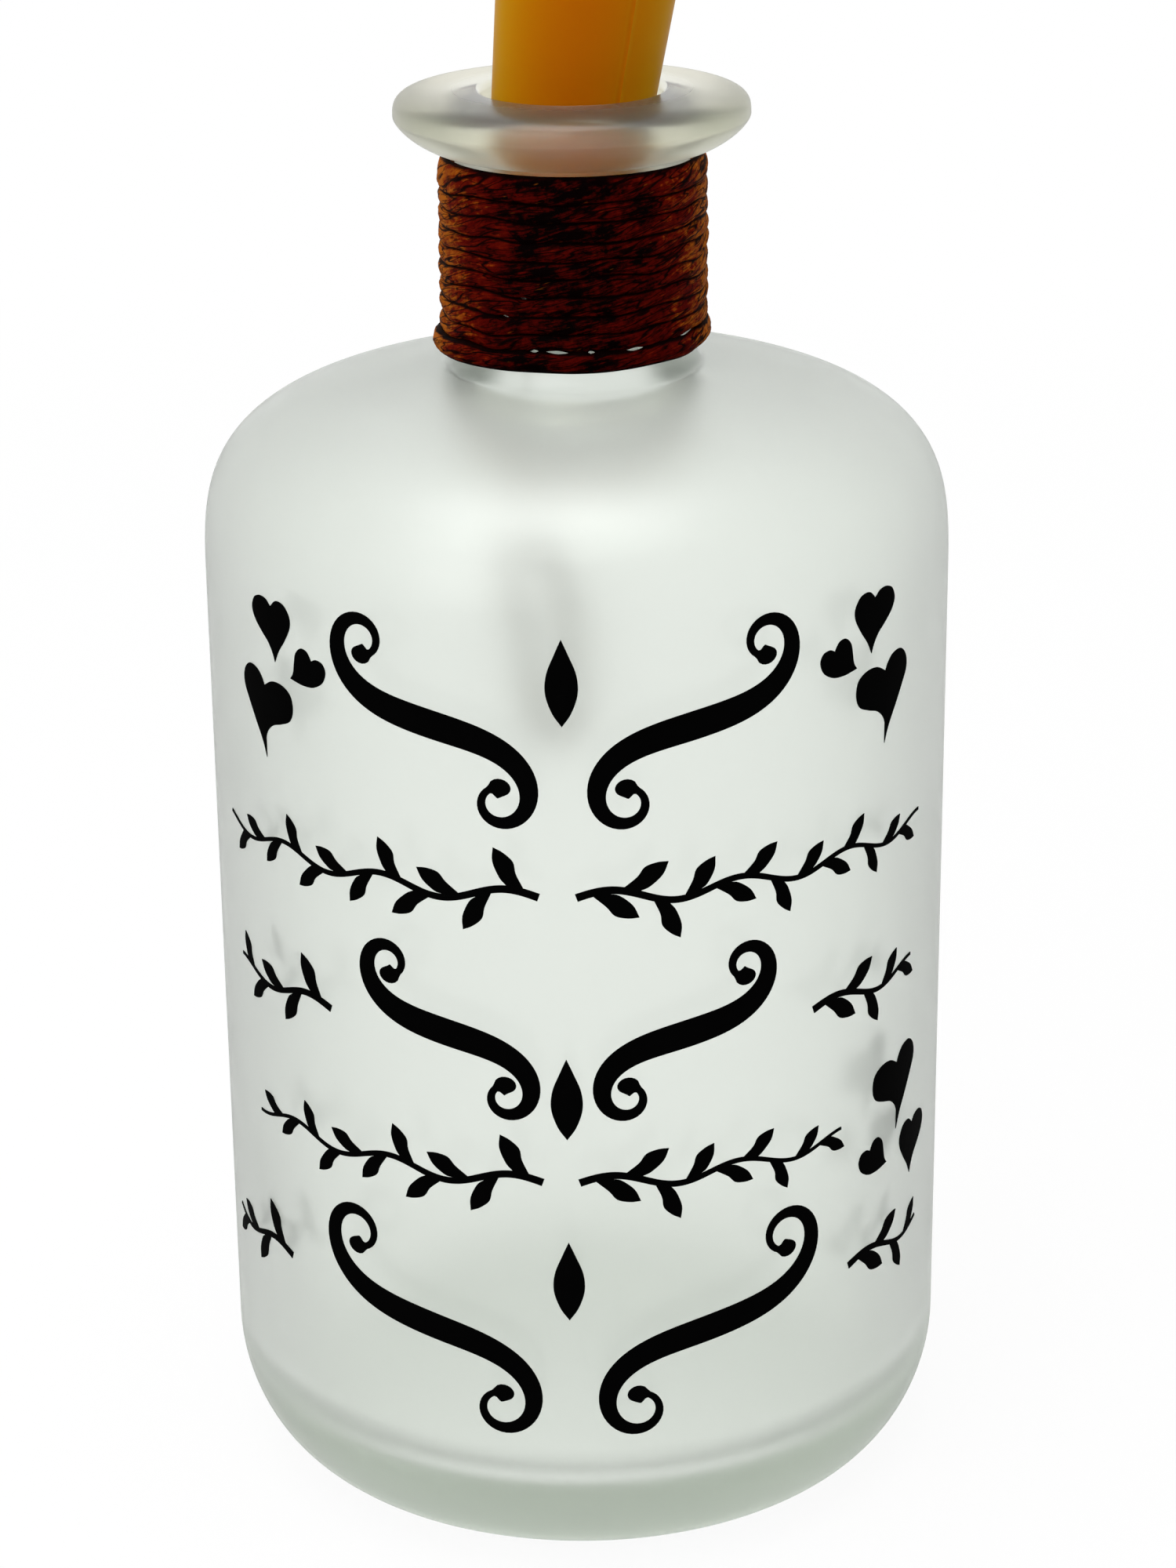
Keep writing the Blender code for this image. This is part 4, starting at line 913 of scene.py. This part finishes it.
# Stopper. A tapered shell of amber plastic, glued from two halves: one mould line shows at the
# right of the front, the other is behind. It stands a little askew in the mouth.
STOPPER_TILT = radians(7.3)
STOPPER_TAPER = radians(4.0)
STOPPER_OFFSET = 0.0003
STOPPER_MOUTH_RADIUS = 0.009
STOPPER_DEPTH = 0.014
STOPPER_STAND = 0.028
SHELL_WALL = 0.0012
SHELL_FLOOR = 0.0016
SHELL_FOOT_ROUNDING = 0.0006
CAP_HEIGHT = 0.008
CAP_ROOF = 0.0016
CAP_ROUNDING = 0.001
CAP_SKIRT = 0.004
CAP_SKIRT_WALL = 0.0011
SEAT_GAP = 0.0003
GLAND_HOLE_RADIUS = 0.0012
SEAM_HEIGHT = 0.00010
SEAM_GROOVE = 0.00006
STOPPER_SEGMENTS = 180
SEAM_SEGMENTS = (61, 61 + STOPPER_SEGMENTS // 2)
SHELL_FOOT_STEPS = 6
SHELL_SHARP_ANGLE = radians(35)

# Painted light: the stopper is painted paler where it turns from view, as light shows through the
# thin plastic there.
AMBER_EDGE_LIGHT = (0.430, 0.200, 0.0015)
# Painted light: the stopper's lower part below the mouth is painted about twice as bright, to stand
# in for light that reaches it through the glass.
AMBER_FOOT_LIGHT = (0.740, 0.225, 0.0002)
AMBER_FOOT_LIGHT_DEPTH = 0.008
AMBER_LOOK = ((0.355, 0.087, 0.0001), (0.395, 0.106, 0.0002), 0.27, 0.40, 90.0, 1400.0, 0.000005)
AMBER_GLOSS = 0.012
AMBER_GLOW_SHARE = 0.35
AMBER_GLOW_REACH = 0.004
AMBER_GLOW_COLOURS = (1.0, 0.5, 0.1)
AMBER_EDGE_LIGHT_RANGE = (0.02, 0.62)

stopper_place = (
    Matrix.Translation((STOPPER_OFFSET, 0.0, BOTTLE_HEIGHT))
    @ Matrix.Rotation(STOPPER_TILT, 4, "Y"))


def stopper_radius(height):
    """Radius of the stopper at a height above the rim of the mouth."""
    return STOPPER_MOUTH_RADIUS + height * tan(STOPPER_TAPER)


amber = skinned("amber_plastic", AMBER_LOOK, {
    "Specular IOR Level": AMBER_GLOSS, "Subsurface Weight": AMBER_GLOW_SHARE,
    "Subsurface Scale": AMBER_GLOW_REACH, "Subsurface Radius": AMBER_GLOW_COLOURS})
amber_shader = amber.node_tree.nodes["Principled BSDF"]
# Painted light on the stopper's foot, below the mouth.
amber_with_foot_light = mixed(
    by_height(amber.node_tree, BOTTLE_HEIGHT, BOTTLE_HEIGHT - AMBER_FOOT_LIGHT_DEPTH),
    amber_shader.inputs["Base Color"].links[0].from_socket, AMBER_FOOT_LIGHT)
# Painted light at the stopper's edges, by a facing mask.
painted_edge_light = wired(amber.node_tree, "LayerWeight", "Facing", {})
fill(amber_shader, {
    "Base Color": mixed(span(painted_edge_light, 0.0, 1.0, *AMBER_EDGE_LIGHT_RANGE), amber_with_foot_light, AMBER_EDGE_LIGHT)})

shell_top = STOPPER_STAND - CAP_HEIGHT - SEAT_GAP / 2
shell_floor = -STOPPER_DEPTH + SHELL_FLOOR
foot = stopper_radius(-STOPPER_DEPTH) - SHELL_FOOT_ROUNDING
shell_section = [
    (GLAND_HOLE_RADIUS, -STOPPER_DEPTH),
    *oval(
        (foot, -STOPPER_DEPTH + SHELL_FOOT_ROUNDING),
        (SHELL_FOOT_ROUNDING, SHELL_FOOT_ROUNDING), -90, 0, SHELL_FOOT_STEPS),
    (stopper_radius(0.0), 0.0),
    (stopper_radius(shell_top), shell_top),
    (stopper_radius(shell_top) - SHELL_WALL, shell_top),
    (stopper_radius(shell_floor) - SHELL_WALL, shell_floor),
    (GLAND_HOLE_RADIUS, shell_floor),
]
seams = []
for segment in SEAM_SEGMENTS:
    seams += [(segment, SEAM_HEIGHT), (segment - 1, -SEAM_GROOVE)]
shell_mesh = lathe("amber_shell", shell_section, STOPPER_SEGMENTS, seams)
shell_mesh.transform(stopper_place)
edged(shell_mesh, SHELL_SHARP_ANGLE)
place("amber_shell", shell_mesh, amber, "stopper", "amber_plastic", "stopper_shell")


# Stopper cap. The same amber plastic: a thick lid whose skirt plugs into the shell, with a slot in
# its top for the switch.
NUB_LENGTH = 0.0024
NUB_WIDTH = 0.003
SWITCH_TRAVEL = 0.002
SLOT_GAP = 0.0003
SLOT_OVERRUN = 0.001
CAP_EDGE_STEPS = 10
CAP_SHARP_ANGLE = radians(30)

cap_low = STOPPER_STAND - CAP_HEIGHT + SEAT_GAP / 2
skirt_low = STOPPER_STAND - CAP_HEIGHT - CAP_SKIRT
skirt_radius = stopper_radius(skirt_low) - SHELL_WALL - SLOT_GAP
cap_section = [
    (0.0, STOPPER_STAND - CAP_ROOF),
    (skirt_radius - CAP_SKIRT_WALL, STOPPER_STAND - CAP_ROOF),
    (skirt_radius - CAP_SKIRT_WALL, skirt_low),
    (skirt_radius, skirt_low),
    (stopper_radius(cap_low) - SHELL_WALL - SLOT_GAP, cap_low),
    (stopper_radius(cap_low), cap_low),
    *oval(
        (stopper_radius(STOPPER_STAND) - CAP_ROUNDING, STOPPER_STAND - CAP_ROUNDING),
        (CAP_ROUNDING, CAP_ROUNDING), 0, 90, CAP_EDGE_STEPS),
    (0.0, STOPPER_STAND),
]


def cut_block(mesh, low, high):
    """The mesh with a rectangular hole between two corners."""
    solid = added("cap_blank", mesh)
    hole_shape = bmesh.new()
    bmesh.ops.create_cube(
        hole_shape, size=1.0, matrix=Matrix.LocRotScale((low + high) / 2, None, high - low))
    hole = added("cap_slot", mesh_of(hole_shape, "cap_slot"))
    cut = solid.modifiers.new("slot", "BOOLEAN")
    cut.operation = "DIFFERENCE"
    cut.object = hole
    bpy.context.view_layer.update()
    result = bpy.data.meshes.new_from_object(
        solid.evaluated_get(bpy.context.evaluated_depsgraph_get()))
    for thing in (solid, hole):
        bpy.data.objects.remove(thing)
    return result


half_width = NUB_WIDTH / 2 + SLOT_GAP
half_length = (NUB_LENGTH + SWITCH_TRAVEL) / 2 + SLOT_GAP
cap_mesh = cut_block(
    lathe("amber_cap", cap_section, STOPPER_SEGMENTS),
    Vector((-half_width, -half_length, STOPPER_STAND - CAP_ROOF - SLOT_OVERRUN)),
    Vector((half_width, half_length, STOPPER_STAND + SLOT_OVERRUN)))
cap_mesh.transform(stopper_place)
edged(cap_mesh, CAP_SHARP_ANGLE)
place("amber_cap", cap_mesh, amber, "cap", "amber_plastic", "stopper_cap")


# Switch slider. Dark grey moulded plastic: a plate under the cap, with a ribbed nub that comes up
# through the slot for the fingertip.
SLIDER_LENGTH = 0.0056
SLIDER_WIDTH = 0.0034
SLIDER_PLATE = 0.0008
NUB_STAND = 0.0006
RIB_COUNT = 4
RIB_DEPTH = 0.00028
RIB_TOP_SHARES = (0.3, 0.7)
SLIDER_BEVEL = 0.00005
SLIDER_BEVEL_STEPS = 2
SLIDER_SHARP_ANGLE = radians(40)
GREY_LOOK = ((0.050, 0.050, 0.053), (0.075, 0.075, 0.078), 0.42, 0.58, 300.0, 3500.0, 0.000008)

grey_plastic = skinned("grey_plastic", GREY_LOOK)
slider_low, slider_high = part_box("switch_slider")
slider_rise = (
    slider_high.z - slider_low.z - (NUB_WIDTH + SLIDER_WIDTH) / 2 * sin(STOPPER_TILT)
) / cos(STOPPER_TILT)
plate_bottom = STOPPER_STAND + NUB_STAND - slider_rise
plate_top = plate_bottom + SLIDER_PLATE
nub_top = STOPPER_STAND + NUB_STAND
rib = NUB_LENGTH / RIB_COUNT
side_line = [
    (-SLIDER_LENGTH / 2, plate_bottom), (SLIDER_LENGTH / 2, plate_bottom),
    (SLIDER_LENGTH / 2, plate_top), (NUB_LENGTH / 2, plate_top),
]
for index in range(RIB_COUNT):
    start = NUB_LENGTH / 2 - rib * index
    side_line += [
        (start, nub_top - RIB_DEPTH), *[(start - rib * share, nub_top) for share in RIB_TOP_SHARES]]
side_line += [
    (-NUB_LENGTH / 2, nub_top - RIB_DEPTH), (-NUB_LENGTH / 2, plate_top),
    (-SLIDER_LENGTH / 2, plate_top),
]
slider_shape = bmesh.new()
near, far = (
    [slider_shape.verts.new((across, along - SWITCH_TRAVEL / 2, up)) for along, up in side_line]
    for across in (-NUB_WIDTH / 2, NUB_WIDTH / 2))
slider_shape.faces.new(near)
slider_shape.faces.new(far[::-1])
for a, b, c, d in zip(near, far, far[1:] + far[:1], near[1:] + near[:1]):
    slider_shape.faces.new((a, b, c, d))
bmesh.ops.recalc_face_normals(slider_shape, faces=slider_shape.faces[:])
bmesh.ops.bevel(
    slider_shape, geom=slider_shape.edges[:], offset=SLIDER_BEVEL, segments=SLIDER_BEVEL_STEPS,
    affect="EDGES")
slider_mesh = mesh_of(slider_shape, "switch_nub")
slider_mesh.transform(stopper_place)
edged(slider_mesh, SLIDER_SHARP_ANGLE)
place("switch_nub", slider_mesh, grey_plastic, "switch", "grey_plastic", "switch_slider")


# Switch body. A small slide switch moulded from the same grey plastic, soldered to the top of
# the circuit board.
def dress(material, *nodes):
    """Gives solids whose shape is already right their finished material."""
    for node in nodes:
        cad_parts[node].material_slots[0].material = material


dress(grey_plastic, "switch_body")


# Circuit board. A round glass-fibre board with green solder mask, a little mottled over its
# copper, resting on the upper contact.
BOARD_LOOK = ((0.012, 0.125, 0.040), (0.035, 0.220, 0.075), 0.22, 0.38, 700.0, 2600.0, 0.00002)

dress(skinned("board_mask", BOARD_LOOK), "circuit_board")


# Cell holder. A tube moulded from white plastic round the stack of cells, slotted for the strip
# and the lead, and held where the shell narrows.
HOLDER_LOOK = ((0.74, 0.735, 0.70), (0.64, 0.63, 0.59), 0.40, 0.55, 260.0, 3000.0, 0.000006)

dress(skinned("white_plastic", HOLDER_LOOK), "cell_holder")


# Button cells. Three cells in nickel-plated steel cans, stacked in the holder, with the fine
# scuffs of handling.
CELL_LOOK = ((0.74, 0.73, 0.71), (0.58, 0.575, 0.56), 0.18, 0.36, 350.0, 2400.0, 0.000003)

cell_steel = skinned("cell_steel", CELL_LOOK, {"Metallic": 1.0})
dress(cell_steel, "button_cell_1", "button_cell_2", "button_cell_3")


# Contacts. Tinned spring-steel: the plate and coil spring under the cells, the strip up their side
# and the plate on top.
TIN_LOOK = ((0.79, 0.77, 0.71), (0.62, 0.60, 0.55), 0.24, 0.44, 500.0, 3200.0, 0.000004)

contact_metal = skinned("contact_metal", TIN_LOOK, {"Metallic": 1.0})
dress(contact_metal, "lower_contact", "contact_spring", "contact_strip", "upper_contact")


# Wire gland. A push-in grommet moulded from clear rubber, in the hole of the stopper's floor,
# which lets the light string out.
RUBBER_LOOK = ((0.66, 0.64, 0.57), (0.54, 0.52, 0.46), 0.44, 0.62, 420.0, 3000.0, 0.000008)
RUBBER_CLEARNESS = 0.35

dress(
    skinned("clear_rubber", RUBBER_LOOK, {"Transmission Weight": RUBBER_CLEARNESS}),
    "wire_gland")


# Light string. Two hair-thin lacquered wires, twisted together, leave the stopper through the gland
# and lie folded in a hank inside the glass: three loops side by side, in four layers.
WIRE_DIAMETER = 0.0004
WIRE_STEP = 0.00095
GLAND_HEAD_HEIGHT = 0.0007
HANK_RUN = 0.0205
HANK_FOLD_RADIUS = 0.0012
HANK_LEAD_START_GAP = 0.0006
HANK_LEAD_BEND = 0.0045
HANK_LEAD_STEPS = 8
HANK_LEAD_RISE = 0.006
HANK_LEAD_INSET = 0.0012
HANK_TAIL = 0.0068
HANK_LAYERS = 4
HANK_TURNS_PER_LAYER = 3
HANK_OFFSET = 0.0038
HANK_CENTRE_HEIGHT = 0.1004
HANK_TILT = radians(7.3)
LOOP_POINTS = 48
RUN_PARTS = LOOP_POINTS // 6
FOLD_PARTS = LOOP_POINTS // 2 - RUN_PARTS
PAIR_TWIST_LENGTH = 0.0032
PAIR_WAIST_SHARE = 0.42
PAIR_SIDES = 10
WIRE_LOOK = ((0.46, 0.44, 0.40), (0.30, 0.285, 0.26), 0.22, 0.40, 600.0, 4000.0, 0.000004)
WIRE_METALLIC = 0.8


def hank_place(across, along, depth):
    """A place in the hank: across it, up along it, and towards the back."""
    up = Vector((-sin(HANK_TILT), 0.0, cos(HANK_TILT)))
    aside = Vector((cos(HANK_TILT), 0.0, sin(HANK_TILT)))
    middle = Vector((-HANK_OFFSET, depth, HANK_CENTRE_HEIGHT))
    return middle + aside * across + up * along


def hank_point(index):
    """A point of the folded wire; each layer spirals in or out, and climbs on a left run."""
    turn = index / LOOP_POINTS
    layer = min(int(turn / HANK_TURNS_PER_LAYER), HANK_LAYERS - 1)
    within = turn - layer * HANK_TURNS_PER_LAYER
    ring = within if layer % 2 else HANK_TURNS_PER_LAYER - within
    ring = min(max(ring, 0.0), HANK_TURNS_PER_LAYER)
    half = HANK_FOLD_RADIUS + WIRE_STEP * ring
    climb = min(1.0, within * LOOP_POINTS / RUN_PARTS) if layer else 1.0
    depth = (layer - 1.0 + climb - (HANK_LAYERS - 1) / 2) * WIRE_STEP
    upward, part = divmod(index % LOOP_POINTS, LOOP_POINTS // 2)
    across, along = half, HANK_RUN * part / RUN_PARTS - HANK_RUN / 2
    if part > RUN_PARTS:
        angle = pi * (part - RUN_PARTS) / FOLD_PARTS
        across, along = half * cos(angle), HANK_RUN / 2 + half * sin(angle)
    way = 1 if upward else -1
    return hank_place(way * across, way * along, depth)


def string_route():
    """The wire from the gland, down the neck and round the hank, to its last bead."""
    lean = Vector((sin(STOPPER_TILT), 0.0, cos(STOPPER_TILT)))
    mouth = Vector((STOPPER_OFFSET, 0.0, BOTTLE_HEIGHT))
    start = mouth - lean * (STOPPER_DEPTH + GLAND_HEAD_HEIGHT + HANK_LEAD_START_GAP)
    hank_start = hank_point(0)
    above = hank_start + Vector((HANK_LEAD_INSET, 0.0, HANK_LEAD_RISE))
    lead = smooth_path([
        start, start - lean * HANK_FOLD_RADIUS, start - lean * HANK_LEAD_BEND,
        (start + above) / 2, above, hank_start,
    ], HANK_LEAD_STEPS)
    turns = HANK_LAYERS * HANK_TURNS_PER_LAYER
    loops = [hank_point(index) for index in range(1, turns * LOOP_POINTS + 1)]
    down = (hank_point(1) - hank_point(0)).normalized()
    return [*lead, *loops, loops[-1] + down * HANK_TAIL]


def pair_mesh(name, route):
    """The twisted pair along its route, as one skin with a waist between the two wires."""
    corners = []
    reached = 0.0
    aside = Vector((1.0, 0.0, 0.0))
    for index, here in enumerate(route):
        ahead = (route[min(index + 1, len(route) - 1)] - route[max(index - 1, 0)]).normalized()
        aside = (aside - ahead * aside.dot(ahead)).normalized()
        third = ahead.cross(aside)
        if index:
            reached += (here - route[index - 1]).length
        for side in range(PAIR_SIDES):
            angle = tau * side / PAIR_SIDES
            twist = angle - tau * reached / PAIR_TWIST_LENGTH
            reach = WIRE_DIAMETER / 2 * (1.0 - PAIR_WAIST_SHARE * sin(twist) ** 2)
            corners.append(
                here + (aside * cos(angle) + third * sin(angle)) * reach)
    return smooth_mesh(name, corners, tube_faces(len(route) - 1, PAIR_SIDES))


lacquered_wire = skinned("lacquered_wire", WIRE_LOOK, {"Metallic": WIRE_METALLIC})
dress(lacquered_wire, "lead_wire")
route = string_route()
string_pair = place(
    "string_pair", pair_mesh("string_pair", route), lacquered_wire, "stopper", "lacquered_wire",
    "light_wire")


# Light beads. Drops of clear resin set on the wire, each round a tiny yellow-topped light that
# is soldered between its two strands.
BEAD_RADIUS = 0.0006
BEAD_LENGTH = 0.0034
BEAD_STEPS = 16
BEAD_SEGMENTS = 20
BEAD_RUNS = (1, 4, 7, 11, 14, 19, 22)
BEAD_PARTS = (1, 3, 0, 2, 1, 3, 3)
CHIP_SIZE = Vector((0.0005, 0.0004, 0.0010))
RESIN_LOOK = ((0.93, 0.92, 0.86), (0.88, 0.86, 0.78), 0.10, 0.22, 900.0, 3000.0, 0.00001)
RESIN_CLEARNESS = 0.8
CHIP_LOOK = ((0.62, 0.42, 0.06), (0.70, 0.55, 0.16), 0.40, 0.55, 2500.0, 6000.0, 0.000004)

clear_resin = skinned("clear_resin", RESIN_LOOK, {"Transmission Weight": RESIN_CLEARNESS})
light_chip = skinned("light_chip", CHIP_LOOK)


def bead_mesh(name, before, after):
    """A drop of resin round the wire, with the light's chip inside it."""
    section = oval((0.0, 0.0), (BEAD_RADIUS, BEAD_LENGTH / 2), -90, 90, BEAD_STEPS)
    section = [(0.0, section[0][1]), *section[1:-1], (0.0, section[-1][1])]
    shape = bmesh.new()
    shape.from_mesh(lathe(name, section, BEAD_SEGMENTS))
    chip = bmesh.ops.create_cube(
        shape, size=1.0, matrix=Matrix.LocRotScale(None, None, CHIP_SIZE))["verts"]
    for face in {face for corner in chip for face in corner.link_faces}:
        face.material_index = 1
        face.smooth = False
    mesh = mesh_of(shape, name)
    mesh.transform(
        Matrix.Translation((before + after) / 2)
        @ (after - before).to_track_quat("Z", "Y").to_matrix().to_4x4())
    return mesh


bead_spans = []
for run, part in zip(BEAD_RUNS, BEAD_PARTS):
    first = (run // 2) * LOOP_POINTS + (run % 2) * LOOP_POINTS // 2 + part * RUN_PARTS // 4
    bead_spans.append((hank_point(first), hank_point(first + RUN_PARTS // 4)))
bead_spans.append((route[-2], route[-1]))
for number, (before, after) in enumerate(bead_spans, 1):
    bead = place(
        f"resin_drop_{number}", bead_mesh(f"resin_drop_{number}", before, after), clear_resin,
        "stopper", "clear_resin", f"light_bead_{number}")
    bead.data.materials.append(light_chip)


# Studio. A pale floor that carries the bottle's shadow and turns white further out, a white
# surround, and two soft lamps.
FLOOR_RADIUS = 3.0
FLOOR_SEGMENTS = 96
FLOOR_LEVEL = -0.0001
FLOOR_COLOUR = (0.86, 0.86, 0.86)
FLOOR_ROUGHNESS = 0.9
WHITE_SHARE = 0.92
WHITE_RANGE = (0.15, 0.60)
WHITE = (1.0, 1.0, 1.0)
SURROUND_STRENGTH = 0.62

# Name, place, size and power
LAMPS = (
    ("front_lamp", (-0.65, -1.05, 0.85), 1.1, 7.0),
    ("top_lamp", (-0.1, -0.1, 1.1), 0.8, 6.5),
)
LAMP_AIM = Vector((0.0, 0.0, 0.09))

floor_shape = bmesh.new()
bmesh.ops.create_circle(
    floor_shape, cap_ends=True, segments=FLOOR_SEGMENTS, radius=FLOOR_RADIUS)
floor = added("floor", mesh_of(floor_shape, "floor"))
floor.location.z = FLOOR_LEVEL


def seen_directly(tree):
    """One where a ray comes straight from the camera, or by way of glass or a gloss."""
    path = tree.nodes.new("ShaderNodeLightPath").outputs
    total = path["Is Camera Ray"]
    for name in ("Is Glossy Ray", "Is Transmission Ray"):
        total = wired(tree, "Math", "Value", {0: total, 1: path[name]}, operation="MAXIMUM")
    return total


floor_material, floor_tree, floor_shader = finish("floor")
fill(floor_shader, {
    "Base Color": FLOOR_COLOUR, "Roughness": FLOOR_ROUGHNESS, "Specular IOR Level": 0.0})
floor_reach = wired(
    floor_tree, "VectorMath", "Value", {0: object_place(floor_tree)}, operation="LENGTH")
whiteness = wired(floor_tree, "Math", "Value", {
    0: seen_directly(floor_tree), 1: span(floor_reach, WHITE_SHARE, 1.0, *WHITE_RANGE),
}, operation="MULTIPLY")
fill(floor_tree.nodes["Material Output"], {"Surface": wired(floor_tree, "MixShader", "Shader", {
    "Fac": whiteness, 1: floor_shader.outputs["BSDF"],
    2: wired(floor_tree, "Emission", "Emission", {})})})
floor.data.materials.append(floor_material)

world = bpy.data.worlds.new("studio")
bpy.context.scene.world = world
world.use_nodes = True
fill(world.node_tree.nodes["Background"], {
    "Color": WHITE, "Strength": span(seen_directly(world.node_tree), SURROUND_STRENGTH, 1.0)})

for name, spot, size, power in LAMPS:
    lamp_data = bpy.data.lights.new(name, "AREA")
    lamp_data.size = size
    lamp_data.energy = power
    lamp = added(name, lamp_data)
    lamp.location = spot
    lamp.rotation_euler = (LAMP_AIM - Vector(spot)).to_track_quat("-Z", "Y").to_euler()

bpy.context.scene.view_settings.view_transform = "Standard"
